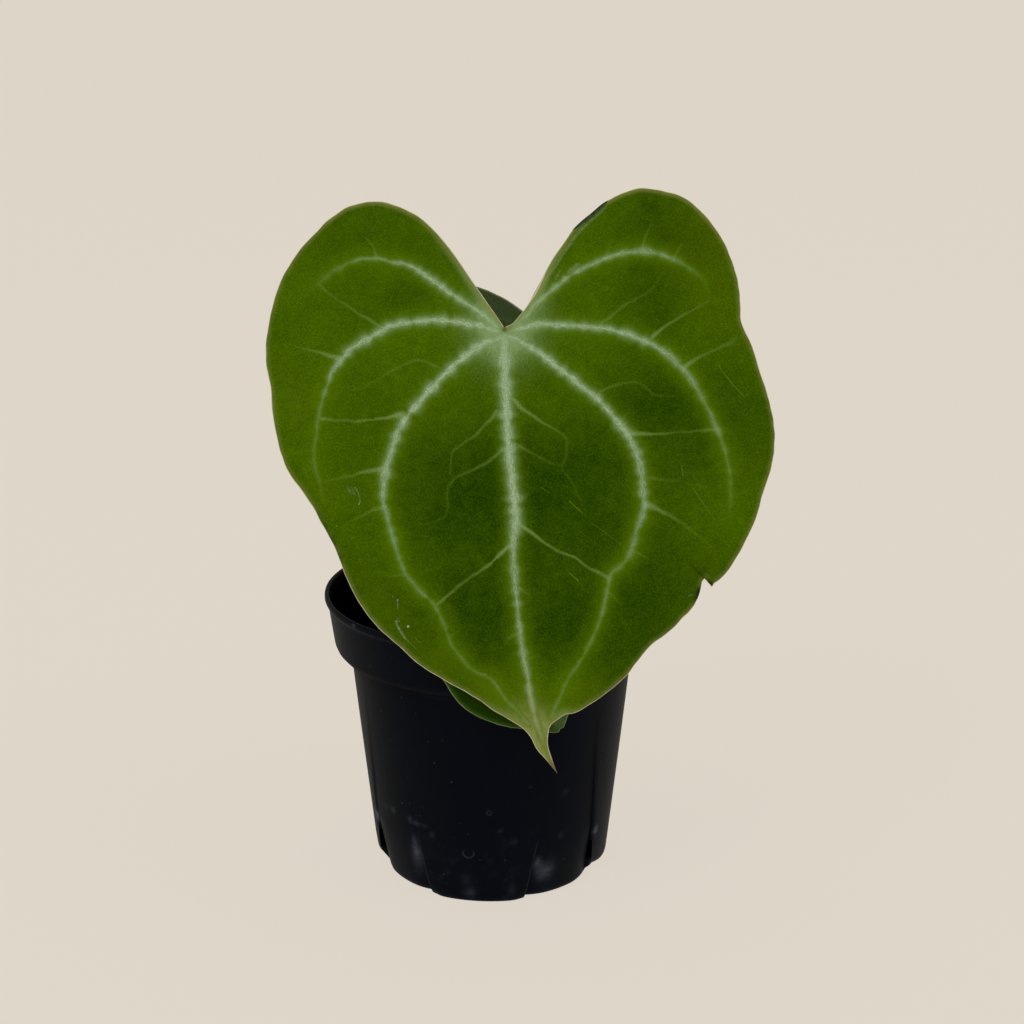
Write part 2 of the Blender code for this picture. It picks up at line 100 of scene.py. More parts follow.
# A material under construction: node() adds any node, with its settings first and then its sockets. Noise
# gives 0 to 1 and sizes are in mm on Object coordinates; a swing is noise less a half, so it swings round 0.
class Recipe:
    def __init__(self, name):
        self.material = bpy.data.materials.new(name)
        self.material.use_nodes = True
        self.tree = self.material.node_tree
        self.shader = self.tree.nodes["Principled BSDF"]

    # a colour of three numbers is in steps of 0 to 255, one of four is light as it stands
    def feed(self, node, sockets):
        for key, value in sockets.items():
            socket = node.inputs[key]
            if isinstance(value, Wire):
                self.tree.links.new(value.socket, socket)
            elif socket.type == "RGBA" and len(value) == 3:
                socket.default_value = tint(*value)
            else:
                socket.default_value = value

    def node(self, kind, settings=None, sockets=None, output=0):
        made = self.tree.nodes.new(kind)
        for key, value in (settings or {}).items():
            setattr(made, key, value)
        self.feed(made, sockets or {})
        return Wire(self, made.outputs[output])

    def parts(self, vector):
        split = self.tree.nodes.new("ShaderNodeSeparateXYZ")
        self.tree.links.new(vector.socket, split.inputs[0])
        return [Wire(self, output) for output in split.outputs]

    def attribute(self, name):      # the three numbers of a vector attribute
        return self.parts(self.node("ShaderNodeAttribute", {"attribute_name": name}, {}, "Vector"))

    def number(self, name):
        return self.node("ShaderNodeAttribute", {"attribute_name": name}, {}, "Fac")

    def vector(self, x, y, z=0.0):
        return self.node("ShaderNodeCombineXYZ", {}, {0: x, 1: y, 2: z})

    def place(self, scale=None):
        place = self.node("ShaderNodeTexCoord", {}, {}, "Object")
        if scale is None:
            return place
        return self.node("ShaderNodeMapping", {}, {"Vector": place, "Scale": scale})

    def noise(self, vector, size, detail=2.0, roughness=0.5):
        values = {"Vector": vector, "Scale": 1.0 / (size * mm), "Detail": detail, "Roughness": roughness}
        return self.node("ShaderNodeTexNoise", {}, values)

    def swing(self, *noise):
        return self.noise(*noise) - 0.5

    def cells(self, vector, size, feature="F1"):
        values = {"Vector": vector, "Scale": 1.0 / (size * mm)}
        return self.node("ShaderNodeTexVoronoi", {"feature": feature}, values)

    def blend(self, factor, first, second):      # the node clamps its factor to 0 to 1
        return self.node("ShaderNodeMix", {"data_type": "RGBA"}, {0: factor, 6: first, 7: second}, 2)

    def layers(self, colour, covers):
        for factor, cover in covers:
            colour = self.blend(factor, colour, cover)
        return colour

    # height is in mm, and hollow tells how far a spot lies too deep for light, and is plain black instead
    def finish(self, colour, roughness, height, gloss, hollow=None, strength=1.0, others=None):
        normal = self.node("ShaderNodeBump", {}, {"Height": height, "Strength": strength, "Distance": mm})
        skin = {"Base Color": colour, "Roughness": roughness, "Normal": normal, "Specular IOR Level": gloss}
        self.feed(self.shader, {**skin, **(others or {})})
        if hollow is not None:
            unlit = {"Base Color": (1, 1, 2), "Roughness": 0.9, "Specular IOR Level": 0.0}
            black = self.node("ShaderNodeBsdfPrincipled", {}, unlit)
            lit = Wire(self, self.shader.outputs[0])
            mixed = self.node("ShaderNodeMixShader", {}, {0: hollow, 1: lit, 2: black})
            self.tree.links.new(mixed.socket, self.tree.nodes["Material Output"].inputs["Surface"])
        return self.material


# A surface from a grid of points, rows by columns, whose last column joins the first. The first row is a
# pole: one point with triangles round it. So is the last one, unless it stays open. Faces of the grid that
# are marked as holes are left out, and bridge joins the rims of holes, as rows of four grid spots.
def gridMesh(name, points, values=None, lastPole=True, holes=None, bridge=None):
    rows, columns = points.shape[:2]
    last = rows - 1 if lastPole else rows
    index = np.zeros((rows, columns), dtype=int)
    index[1:last] = 1 + np.arange((last - 1) * columns).reshape(last - 1, columns)
    if lastPole:
        index[-1] = 1 + (last - 1) * columns
    after = np.roll(index, -1, axis=1)
    quads = np.stack([index[:-1], after[:-1], after[1:], index[1:]], axis=-1)
    kept = np.ones(quads.shape[:2], dtype=bool) if holes is None else ~holes
    kept[:1] = False
    kept[last - 1:] = False
    faces = quads[kept].tolist() + quads[0][:, [0, 2, 3]].tolist()
    if lastPole:
        faces += quads[-1][:, [0, 1, 2]].tolist()
    if bridge is not None:
        faces += index[bridge[..., 0], bridge[..., 1]].tolist()

    def spread(array):      # one row for each point of the mesh
        array = np.broadcast_to(array, points.shape[:2] + array.shape[2:])
        body = array[1:last].reshape((-1,) + array.shape[2:])
        return np.concatenate([array[:1, 0], body] + ([array[-1:, 0]] if lastPole else []))

    mesh = bpy.data.meshes.new(name)
    mesh.from_pydata((spread(points) * mm).tolist(), [], faces)
    for key, array in (values or {}).items():
        setValues(mesh, key, spread(array))
    mesh.shade_smooth()
    mesh.update()
    return mesh


# A named value for each point: a number, or a vector where the array has three columns.
def setValues(mesh, name, array):
    isVector = array.ndim == 2
    layer = mesh.attributes.new(name, "FLOAT_VECTOR" if isVector else "FLOAT", "POINT")
    numbers = np.ascontiguousarray(array, dtype=np.float32).ravel()
    layer.data.foreach_set("vector" if isVector else "value", numbers)


# Makes a piece of the model: its object rides on the one body and takes the place of the named nodes. The
# slot is not used.
def dress(name, mesh, material, slot, *nodes):
    piece = bpy.data.objects.new(name, mesh)
    bpy.context.scene.collection.objects.link(piece)
    mesh.materials.append(material)
    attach(piece, "root")
    if nodes:
        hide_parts(*nodes)
    print(name, "triangles", sum(len(face.vertices) - 2 for face in mesh.polygons))


# Points along smooth cubic stretches through the given ones. Slopes are half the step from the point before
# to the point after, and 0 at a corner, which stays sharp.
def smoothLine(points, spacing, closed=False, corners=()):
    points = np.array(points, dtype=float)
    if len(points) == 1:
        return points
    slopes = (np.roll(points, -1, axis=0) - np.roll(points, 1, axis=0)) / 2
    if not closed:
        slopes[0] = points[1] - points[0]
        slopes[-1] = points[-1] - points[-2]
    slopes[list(corners)] = 0.0
    ends = np.roll(points, -1, axis=0)
    endSlopes = np.roll(slopes, -1, axis=0)
    stretches = []
    for number in range(len(points) if closed else len(points) - 1):
        steps = max(1, round(float(np.linalg.norm(ends[number] - points[number])) / spacing))
        t = (np.arange(steps) / steps)[:, None]
        stretch = points[number] * (2 * t ** 3 - 3 * t ** 2 + 1) + ends[number] * (3 * t ** 2 - 2 * t ** 3)
        turning = slopes[number] * (t ** 3 - 2 * t ** 2 + t) + endSlopes[number] * (t ** 3 - t ** 2)
        stretches.append(stretch + turning)
    if not closed:
        stretches.append(points[-1:])
    return np.concatenate(stretches)


def smoothStep(value, low, high):       # 3t^2 - 2t^3 of the share of the way from low to high
    share = np.clip((value - low) / (high - low), 0.0, 1.0)
    return share * share * (3.0 - 2.0 * share)


def bell(distance, reach):       # e^(-(distance / reach)^2)
    return np.exp(-(distance / reach) ** 2)


def falling(distance, reach):       # 1 at 0, evenly down to 0 at reach
    return np.clip(1.0 - distance / reach, 0.0, 1.0)


def unit(vectors):       # each vector over its length
    return vectors / np.linalg.norm(vectors, axis=-1, keepdims=True)


def ringAngles(count):       # evenly round a circle, without its end
    return np.linspace(0.0, 2 * math.pi, count, endpoint=False)


# A soft lump field for geometry: the mean of many sine waves whose directions and phases come from a seed.
def lumps(points, size, seed, waves=18):
    rng = np.random.default_rng(seed)
    directions = rng.normal(size=(waves, points.shape[-1]))
    pace = 2 * math.pi / size * rng.uniform(0.6, 1.4, (waves, 1))
    directions *= pace / np.linalg.norm(directions, axis=1)[:, None]
    phases = rng.uniform(0, 2 * math.pi, waves)
    return np.sin(points @ directions.T + phases).sum(axis=-1) / math.sqrt(waves / 2)


# The camera: at the photograph's height above the pot, aimed at a point between the pot and the leaf.
view = {
    "target": (6.6, 0.0, 117.5),
    "distance": 700.0,
    "elevation": 17.3,          # degrees
    "lens": 78.01,              # mm
    "sensor": 36.0,
    "clip": (0.05, 60.0),       # metres
}


# The camera stands back from its target by the distance, along a line that rises by the elevation.
def makeCamera():
    tilt = math.radians(view["elevation"])
    back = Vector((0.0, -math.cos(tilt), math.sin(tilt)))
    camera = bpy.data.objects.new("camera", bpy.data.cameras.new("camera"))
    camera.data.sensor_width = view["sensor"]
    camera.data.lens = view["lens"]
    camera.data.clip_start, camera.data.clip_end = view["clip"]
    camera.location = (Vector(view["target"]) + back * view["distance"]) * mm
    camera.rotation_euler = (-back).to_track_quat("-Z", "Y").to_euler()
    bpy.context.scene.collection.objects.link(camera)
    bpy.context.scene.camera = camera


# The studio: a pale floor that glows a little so that its shadows stay faint, an even sky and two soft
# lamps.
studio = {
    "backdrop": (221, 213, 201),
    "skyStrength": 1.0,
    "floorGlow": 1.085,
    "floorPaint": (0.50, 0.465, 0.41, 1.0),
    "floorShare": 0.14,         # how much of the floor is lit paint; the rest is glow
    "floorRadius": 9000.0,
    "floorSides": 96,
    "floorDrop": 0.05,          # how far it lies below the pot's foot
    "aim": (0.0, 0.0, 110.0),   # where the lamps point
    "lamps": [
        # name, place in mm, size in mm, watts, colour
        ("keyLamp", (-900.0, -1300.0, 1500.0), 900.0, 9.5, (1.0, 0.985, 0.96)),
        ("fillLamp", (1500.0, -500.0, 900.0), 1100.0, 3.2, (0.97, 0.985, 1.0)),
    ],
}


# Sky, floor and lamps. The floor's light is glow * (1 - floorShare) + paint * floorShare.
def makeStudio():
    scene = bpy.context.scene
    scene.view_settings.view_transform = "Standard"
    scene.view_settings.look = "None"
    scene.world = bpy.data.worlds.new("sky")
    scene.world.use_nodes = True
    sky = scene.world.node_tree.nodes["Background"]
    sky.inputs["Color"].default_value = tint(*studio["backdrop"])
    sky.inputs["Strength"].default_value = studio["skyStrength"]

    recipe = Recipe("pale_floor")
    glowing = {"Color": studio["backdrop"], "Strength": studio["floorGlow"]}
    glow = recipe.node("ShaderNodeEmission", {}, glowing)
    paint = recipe.node("ShaderNodeBsdfDiffuse", {}, {"Color": studio["floorPaint"]})
    mixed = recipe.node("ShaderNodeMixShader", {}, {0: studio["floorShare"], 1: glow, 2: paint})
    output = recipe.tree.nodes["Material Output"]
    recipe.tree.links.new(mixed.socket, output.inputs["Surface"])
    radius = (np.array([0.0, 0.05, 0.2, 1.0]) * studio["floorRadius"])[:, None]
    angle = ringAngles(studio["floorSides"])[None, :]
    flat = np.broadcast_to(-studio["floorDrop"], (len(radius), studio["floorSides"]))
    disc = np.stack([radius * np.cos(angle), radius * np.sin(angle), flat], axis=-1)
    floor = bpy.data.objects.new("floor", gridMesh("floor", disc[:, ::-1], lastPole=False))
    floor.data.materials.append(recipe.material)
    scene.collection.objects.link(floor)

    for name, place, size, watts, colour in studio["lamps"]:
        lamp = bpy.data.objects.new(name, bpy.data.lights.new(name, "AREA"))
        lamp.data.shape = "DISK"
        lamp.data.size = size * mm
        lamp.data.energy = watts
        lamp.data.color = colour
        lamp.location = Vector(place) * mm
        aim = Vector(studio["aim"]) - Vector(place)
        lamp.rotation_euler = aim.to_track_quat("-Z", "Y").to_euler()
        scene.collection.objects.link(lamp)


makeCamera()
makeStudio()
print("stage 2: camera and studio made")


# How a blade bends. The ripples of its margin are sines of the angle round the hub: how often each comes
# round, where it starts, its share, and the power by which it dies away from the margin to the hub.
bend = {
    "fold": 1.8, "foldWidth": 30.0,
    "ripples": [(9.0, 0.7, 1.0, 3), (4.0, 2.0, 0.5, 2)],
}


# Where a blade sits and how it bends. x runs across and v up from the base; both are turned by roll in the
# blade's plane, which leans back from upright, faces heading (0 is the front, 90 is +X) and bends back both
# ways. The halves rise by fold * (1 - e^(-|x| / foldWidth)), and the margin waves by the ripples.
def bladePoint(leaf, x, v, edge=0.0, angle=0.0):
    turn, tip, roll = (math.radians(leaf[key]) for key in ("heading", "lean", "roll"))
    across = np.array([math.cos(turn), math.sin(turn), 0.0])
    rise = np.array([-math.sin(turn) * math.sin(tip), math.cos(turn) * math.sin(tip), math.cos(tip)])
    normal = np.cross(across, rise)
    sideways = x * math.cos(roll) - v * math.sin(roll)
    up = x * math.sin(roll) + v * math.cos(roll)
    along = up / leaf["lengthBend"]
    over = sideways / leaf["widthBend"]
    lift = bend["fold"] * (1.0 - np.exp(-np.abs(x) / bend["foldWidth"]))
    lift = lift - leaf["widthBend"] * (1.0 - np.cos(over))
    for times, start, share, power in bend["ripples"]:
        lift = lift + leaf["wave"] * share * edge ** power * np.sin(times * angle + start)
    radius = leaf["lengthBend"] + lift
    spot = np.array(leaf["base"]) + across * (leaf["widthBend"] * np.sin(over))[..., None]
    spot = spot + rise * (radius * np.sin(along))[..., None]
    return spot + normal * (radius * np.cos(along) - leaf["lengthBend"])[..., None]


# The direction that the upper side faces: the cross product of short steps across and up the blade.
def bladeFacing(leaf, x, v):
    step = 0.2
    alongX = bladePoint(leaf, x + step, v) - bladePoint(leaf, x - step, v)
    alongV = bladePoint(leaf, x, v + step) - bladePoint(leaf, x, v - step)
    return unit(np.cross(alongX, alongV))


# Swings the lower end of flat points aside by the fourth power of the way down to the tip.
def swept(points, sweep, sign):
    reach, length = sweep
    moved = np.array(points, dtype=float)
    moved[..., 0] += sign * reach * (np.minimum(moved[..., 1], 0.0) / length) ** 4
    return moved


# A vein or a mark: its path on the blade, its width in mm, its strength and its tone from start to end.
def stroke(path, width, strength, tone=(0.0,)):
    spacing = 0.8
    line = smoothLine(path, spacing)
    share = np.linspace(0.0, 1.0, len(line))
    looks = [np.interp(share, np.linspace(0.0, 1.0, len(key)), key) for key in (width, strength, tone)]
    looks[0] = looks[0] / 2
    return line, np.stack(looks, axis=1)


# A vein that wanders a little off its line and swells and thins along it. Both follow soft lumps of the
# place, so veins that meet still meet.
def wandering(line, look, leaf):
    seed, size = leaf["seed"] + 60, leaf["wanderSize"]
    aside = np.stack([lumps(line, size, seed), lumps(line, size, seed + 1)], axis=1)
    swollen = look.copy()
    swollen[:, 0] *= 1.0 + leaf["unevenness"] * lumps(line, size * 0.7, seed + 2)
    return line + leaf["wander"] * aside, swollen


# For each spot of the blade, the nearest point of a family of strokes. The nearest sample is found from the
# squared distances, then the foot of the perpendicular on the stretches before and after it. Gives the
# offset to that point with the distance, the half width, strength and tone there, and the distance again
# with a sign for the side it lies on, with the length along the path.
def strokeField(x, v, strokes):
    samples = np.concatenate([line for line, look in strokes])
    looks = np.concatenate([look for line, look in strokes])
    starts = np.cumsum([0] + [len(line) for line, look in strokes])
    owner = np.repeat(np.arange(len(strokes)), np.diff(starts))
    lengths = np.concatenate([[0.0], np.cumsum(np.linalg.norm(np.diff(samples, axis=0), axis=1))])
    spots = np.stack([x.ravel(), v.ravel()], axis=1)
    offsets = np.empty((len(spots), 3))
    found = np.empty((len(spots), 3))
    lines = np.zeros((len(spots), 3))
    chunkSize = 4000                # few enough spots at once for the table of distances
    for chunk in np.array_split(np.arange(len(spots)), max(1, len(spots) // chunkSize)):
        spot = spots[chunk]
        squares = (samples ** 2).sum(axis=1) - 2.0 * spot @ samples.T
        nearest = squares.argmin(axis=1)
        foot = samples[nearest]
        best = np.linalg.norm(foot - spot, axis=1)
        along = lengths[nearest]
        heading = np.zeros_like(foot)
        for step in (-1, 1):
            other = np.clip(nearest + step, starts[owner[nearest]], starts[owner[nearest] + 1] - 1)
            stretch = samples[other] - samples[nearest]
            length = np.maximum((stretch ** 2).sum(axis=1), 1e-9)
            share = np.clip(((spot - samples[nearest]) * stretch).sum(axis=1) / length, 0.0, 1.0)
            candidate = samples[nearest] + stretch * share[:, None]
            distance = np.linalg.norm(candidate - spot, axis=1)
            closer = distance < best
            foot = np.where(closer[:, None], candidate, foot)
            along = np.where(closer, lengths[nearest] + (lengths[other] - lengths[nearest]) * share, along)
            best = np.minimum(best, distance)
            heading += step * stretch
        offsets[chunk] = np.column_stack([foot - spot, best])
        found[chunk] = looks[nearest]
        toward = spot - foot
        lines[chunk, 0] = np.sign(heading[:, 0] * toward[:, 1] - heading[:, 1] * toward[:, 0]) * best
        lines[chunk, 1] = along
    return [field.reshape(x.shape + (3,)) for field in (offsets, found, lines)]


# A field of soft round patches: the sum of strength * e^(-(distance / reach)^2).
def patches(x, v, spots):
    field = np.zeros(x.shape)
    for spotX, spotV, reach, strength in spots:
        field += strength * bell(np.hypot(x - spotX, v - spotV), reach)
    return field


# Points round a closed line, each one the mean of its neighbours by a bell-shaped weight.
def evened(points, reach):
    steps = np.arange(-3 * reach, 3 * reach + 1)
    weights = bell(steps, reach)
    total = sum(np.roll(points, step, axis=0) * weight for step, weight in zip(steps, weights))
    return total / weights.sum()


# How blades are meshed and how deep their relief goes, in mm unless it is a share.
relief = {
    "evenLimit": 1.06,              # an evened spoke reaches at most this share of the real one
    "rimLimit": 0.2,                # and the rim takes at most this share of a spoke
    "rimTurns": (60.0, 30.0, 0.0, -30.0, -60.0),
    "tearFrom": 0.72, "tearTo": 0.98,       # shares of a spoke between which the real outline takes over
    "reliefFade": 1.5, "edgeFade": 2.0,     # how fast relief and thickness grow from the margin
    "panelWidth": 7.0, "quiltSize": 9.0, "quiltFrom": 1.0, "quiltTo": 5.0,
    "grooveWidth": (0.75, 0.3), "ribWidth": (0.8, 0.35),       # shares of a vein's half width, and mm more
    "ribHalf": 1.2,                 # the half width of a vein that gets the full rib
}


# A closed blade: rings from the hub out to the margin on the upper side, round the rim, and back on the
# lower side. A spot is hub + share * spoke, swept aside and bent, then moved along the blade's normal by
# half the thickness and by the relief: panels swell between the main veins, veins sink above and stand out
# below. Inner rings follow an evened outline, and only the outer ones take up its tears and small waves.
def makeBlade(name, leaf, material, slot, node):
    edgeLine = swept(smoothLine(leaf["outline"], leaf["spacing"], True, leaf["corners"]), leaf["sweep"], -1)
    hub = np.array(leaf["hub"])
    spokes = edgeLine - hub
    raggedness = leaf["ragged"] * lumps(edgeLine, leaf["raggedSize"], leaf["seed"] + 50)
    spokes *= 1.0 + (raggedness / np.linalg.norm(spokes, axis=1))[:, None]
    reach = np.linalg.norm(spokes, axis=1)
    even = evened(spokes, leaf["evenReach"])
    even *= np.minimum(1.0, reach * relief["evenLimit"] / np.linalg.norm(even, axis=1))[:, None]
    rim = leaf["rimRadius"]
    inner = 1.0 - np.minimum(rim / reach, relief["rimLimit"])
    turn = np.radians(relief["rimTurns"])[:, None]
    upper = np.linspace(0.0, 1.0, leaf["upperRings"] + 1)[:, None] * inner
    lower = np.linspace(1.0, 0.0, leaf["lowerRings"] + 1)[:, None] * inner
    shares = np.vstack([upper, inner + (1.0 - inner) * np.cos(turn), lower])
    side = np.concatenate([np.ones(len(upper)), np.sin(turn)[:, 0], -np.ones(len(lower))])[:, None]
    outer = smoothStep(shares, relief["tearFrom"], relief["tearTo"])[..., None]
    flat = swept(hub + (even * (1.0 - outer) + spokes * outer) * shares[..., None], leaf["sweep"], 1)
    x, v = flat[..., 0], flat[..., 1]
    margin = swept(hub + np.vstack([spokes, spokes[:1]]), leaf["sweep"], 1)
    fromRim = strokeField(x, v, [(margin, np.zeros((len(margin), 3)))])[0][..., 2]

    values = {}
    for family in ("main", "side", "mark"):
        strokes = [stroke(*row) for row in leaf[family]]
        if family != "mark":
            strokes = [wandering(line, look, leaf) for line, look in strokes]
        values[family], values[family + "Look"], lines = strokeField(x, v, strokes)
        if family == "main":
            values["mainLine"] = lines
    mainAway = values["main"][..., 2]
    halfWidth, strength = values["mainLook"][..., 0], values["mainLook"][..., 1]
    kinds = ("dark", "haze", "brown", "yellow", "pale", "rolled", "shade", "straw")
    zones = {kind: patches(x, v, leaf["patches"].get(kind, [])) for kind in kinds}

    def veinBell(width):            # strength * e^(-(distance / (share * half width + more))^2)
        share, more = relief[width]
        return strength * bell(mainAway, share * halfWidth + more)

    fade = 1.0 - np.exp(-fromRim / relief["reliefFade"])
    swell = leaf["swell"] * (bell(mainAway, relief["panelWidth"]) - 0.5)
    sunk = leaf["groove"] * veinBell("grooveWidth")
    ribs = leaf["rib"] * (halfWidth / relief["ribHalf"]) * veinBell("ribWidth")
    quilt = lumps(flat, relief["quiltSize"], leaf["seed"])
    quilt = -swell + leaf["quilt"] * quilt * smoothStep(mainAway, relief["quiltFrom"], relief["quiltTo"])
    half = rim + (leaf["thickness"] / 2 - rim) * (1.0 - np.exp(-fromRim / relief["edgeFade"]))
    height = half * side + quilt * fade
    height = height - np.where(side > 0, sunk, ribs) * np.abs(side) * fade
    rolled = np.minimum(zones["rolled"], 1.0)
    curl = leaf["curl"] * rolled * falling(fromRim, leaf["curlWidth"]) ** 2
    angle = np.arctan2(x - hub[0], v - hub[1])
    points = bladePoint(leaf, x, v, shares, angle) + bladeFacing(leaf, x, v) * (height - curl)[..., None]

    values["sheet"] = np.stack([x, v, np.broadcast_to(side, x.shape)], axis=-1)
    values["zone"] = np.stack([fromRim, zones["dark"], zones["haze"]], axis=-1)
    values["stain"] = np.stack([zones["brown"], zones["yellow"], zones["pale"]], axis=-1)
    values["roll"] = np.stack([rolled, zones["shade"], zones["straw"]], axis=-1)
    mesh = gridMesh(name, points, values)
    dress(name, mesh, material, slot, node)


# Leaf tissue. Distances to the veins come with the mesh as offsets, whose length is the distance. A vein is
# a pale streaky core inside a green flank inside a wide faint halo. The core's share is the strength to the
# power 2.7, so a vein that gets weaker turns green before it fades. Base colour runs from deep to light
# green by the dark patches, mottling and fine velvet grain, with olive grains scattered over it.
def leafMaterial(name, look):
    recipe = Recipe(name)
    place = recipe.place()
    x, v, side = recipe.attribute("sheet")
    fromRim, dark, haze = recipe.attribute("zone")
    brown, yellow, pale = recipe.attribute("stain")
    rolledZone, shadeZone, straw = recipe.attribute("roll")
    signed, run = recipe.attribute("mainLine")[:2]
    mainHalf, mainStrength, mainTone = recipe.attribute("mainLook")
    sideHalf, sideStrength = recipe.attribute("sideLook")[:2]
    markHalf, markStrength, markTone = recipe.attribute("markLook")
    upper = side.rise(-0.6, 0.4)

    fine = recipe.noise(place, 0.75, 3.0, 0.6)
    mottle = recipe.noise(place, 3.2, 4.0, 0.6)
    grain = recipe.swing(place, look["grainSize"], 1.0)
    thread = recipe.swing(place, 0.34, 1.0)
    drift = recipe.swing(place, 14.0)
    streak = recipe.swing(recipe.vector(signed * 0.001, run * 0.00015), 0.34, 2.0, 0.6)
    hairs = recipe.swing(recipe.vector(run * 0.001, signed * 0.00028), 0.5, 3.0, 0.65)
    tail = recipe.noise(recipe.vector((x + v * 0.38) * 0.001, v * 0.00012), 0.36, 2.0, 0.6)
    ragged = (fine - 0.5) * 1.5 + thread * 1.1

    def distance(family):           # the offset's length, where it agrees with the distance that was stored
        offsetX, offsetV, away = recipe.attribute(family)
        return ((offsetX * offsetX + offsetV * offsetV) ** 0.5).atLeast(away - 0.4)

    # the veins: halo, flank, core and centre line, then the side veins and the scratches
    mainAway, sideAway, markAway = distance("main"), distance("side"), distance("mark")
    near = mainAway.fade(mainHalf * 0.5, look["haloReach"]) * (mainStrength * 1.6).atMost(1.0)
    flank = (mainAway + ragged * 0.5 + hairs * 0.8).fade(mainHalf * 0.6, mainHalf * 2.3 + 0.2)
    flank = flank * (mainStrength * 1.5).atMost(1.0)
    core = (mainAway + hairs * 0.35 + thread * 0.6).fade((mainHalf - 1.25) * 0.9, mainHalf * 1.45 + 0.1)
    core = core * mainStrength ** 2.7
    centre = mainAway.fade(0.0, mainHalf * 1.1)
    sideFlank = (sideAway + ragged * 0.5).fade(sideHalf * 0.2, sideHalf * 1.1 + 0.25)
    sideFlank = sideFlank * (sideStrength * 1.25).atMost(1.0)
    sideCore = (sideAway + ragged * 0.25).fade(0.0, sideHalf * 0.9 + 0.1) * sideStrength ** 2.6
    mark = (markAway + ragged * 0.12).fade(markHalf * 0.3, markHalf) * markStrength
    mark = mark * (fine * 3.2 - 0.9).clamped()

    light = look["level"] - dark * (1.0 - near * 0.5) * look["darkness"] + near * 0.06
    light = light + (mottle - 0.5) * look["mottling"] + drift * look["drift"]
    light = light + grain * look["grain"] * (0.5 + light)
    olive = brown * (0.4 + mottle) + (fine - 0.60) * 1.5 + (thread - 0.06) * 1.3
    band = pale * (fromRim + ragged).fade(0.3, 2.9) * (0.5 + 0.9 * fine - 0.3 * mottle)
    flankGreen = recipe.blend(mainStrength.rise(0.8, 1.0) * 0.4, look["halo"], look["haze"])
    pallor = 0.1 + centre * 0.55 + streak * 1.8 + grain * 0.9
    veinGreen = recipe.blend(pallor, look["vein"], look["veinCore"])
    veinGreen = recipe.blend(mainTone, veinGreen, look["tailVein"])
    specks = recipe.cells(place, 0.7).fade(0.12, 0.26)
    green = recipe.layers(recipe.blend(light, look["deep"], look["light"]), [
        (olive, look["brown"]),
        (yellow * (0.4 + 0.6 * mottle + 0.6 * fine), look["yellow"]),
        (straw * (0.6 + 0.8 * fine), recipe.blend(tail * 2.8 - 0.9, look["strawDark"], look["straw"])),
        (near * near * (0.6 * fine - 0.05), look["halo"]),
        (flank * (fine + 0.22), flankGreen),
        (haze * (0.1 + 1.6 * fine + 0.8 * grain), look["haze"]),
        (band, look["paleBand"]),
        (sideFlank * (2.2 * fine - 0.4), look["sideVein"]),
        (sideCore * (0.95 + 1.6 * grain), look["strongVein"]),
        (core * (1.0 + 0.9 * streak + 0.8 * grain), veinGreen),
        (specks * (core * 1.6 - 0.5).clamped() * 0.6, look["speck"]),
        (mark, recipe.blend(markTone.rise(0.2, 0.8), look["mark"], look["fleck"])),
    ])

    underLight = 0.1 + 0.8 * mottle + drift * 0.6 + grain * 0.4
    net = recipe.cells(place, 5.0, "DISTANCE_TO_EDGE").fade(0.015, 0.07)
    under = recipe.blend(underLight, look["underDeep"], look["under"])
    covers = (net * 0.22, sideFlank * 0.8, flank * look["underStrength"])
    under = recipe.layers(under, [(cover, look["underVein"]) for cover in covers])

    # the margin: painted shade where it curls back and beside the tear, painted shade and painted sheen on
    # the rolled edge, the pale rim and its glow, and the brown tip of the tail
    # painted shade on the upper side where the margin curls back and beside the tear
    marginShaded = (shadeZone * (fromRim + ragged * 0.5).fade(0.9, 2.4) * (0.6 + 0.9 * fine)).clamped() * upper
    # painted shade and painted sheen on the strip where the margin rolls back, darkest at its outer edge
    rollWidth = rolledZone.rise(0.1, 0.9) * look["rollWidth"]
    rolled = rolledZone.rise(0.15, 0.5) * (fromRim + ragged * 0.3).fade(rollWidth * 0.6, rollWidth)
    outsidePaintedShade = (1.0 - marginShaded) * (1.0 - rolled)
    rimWidth = look["rimWidth"] + 0.2 * yellow + 0.3 * (mottle - 0.5)
    rim = (fromRim.fade(rimWidth * 0.3, rimWidth) * (0.5 + 0.7 * fine) * look["rimStrength"]).clamped()
    rimGlow = fromRim.fade(0.2, 2.0) * (0.2 + 0.5 * mottle + 0.35 * v.rise(20.0, 38.0))
    rollSheen = recipe.blend(mottle * 2.6 - 0.8 + grain, look["rollShade"], look["rollSheen"])
    colour = recipe.layers(recipe.blend(upper, under, green), [
        ((rimGlow * look["rimGlow"]).clamped() * upper * outsidePaintedShade, look["rimGreen"]),
        (rim * outsidePaintedShade, look["rim"]),
        (v.fade(-128.4, -125.4) * (0.35 + 1.1 * mottle), look["tip"]),
        (brown.rise(0.8, 1.2) * 0.8, look["notch"]),
        (marginShaded, look["marginShade"]),
        (rolled, recipe.blend(fromRim.rise(0.15, 0.5), look["rollEdgeShade"], rollSheen)),
    ])

    topHeight = grain * 0.03 + (mottle - 0.5) * 0.10 - sideCore * 0.08 + streak * core * 0.06
    underHeight = grain * 0.02 + sideFlank * 0.2 + net * 0.05
    height = topHeight * upper + underHeight * (1.0 - upper)
    roughness = look["roughness"] + grain * 0.12 - core * 0.05
    velvet = {"Specular Tint": look["glossTint"], "Sheen Tint": look["sheenTint"], "Sheen Roughness": 0.45,
              "Sheen Weight": look["sheen"]}
    return recipe.finish(colour, roughness, height, look["gloss"], None, 0.8, velvet)


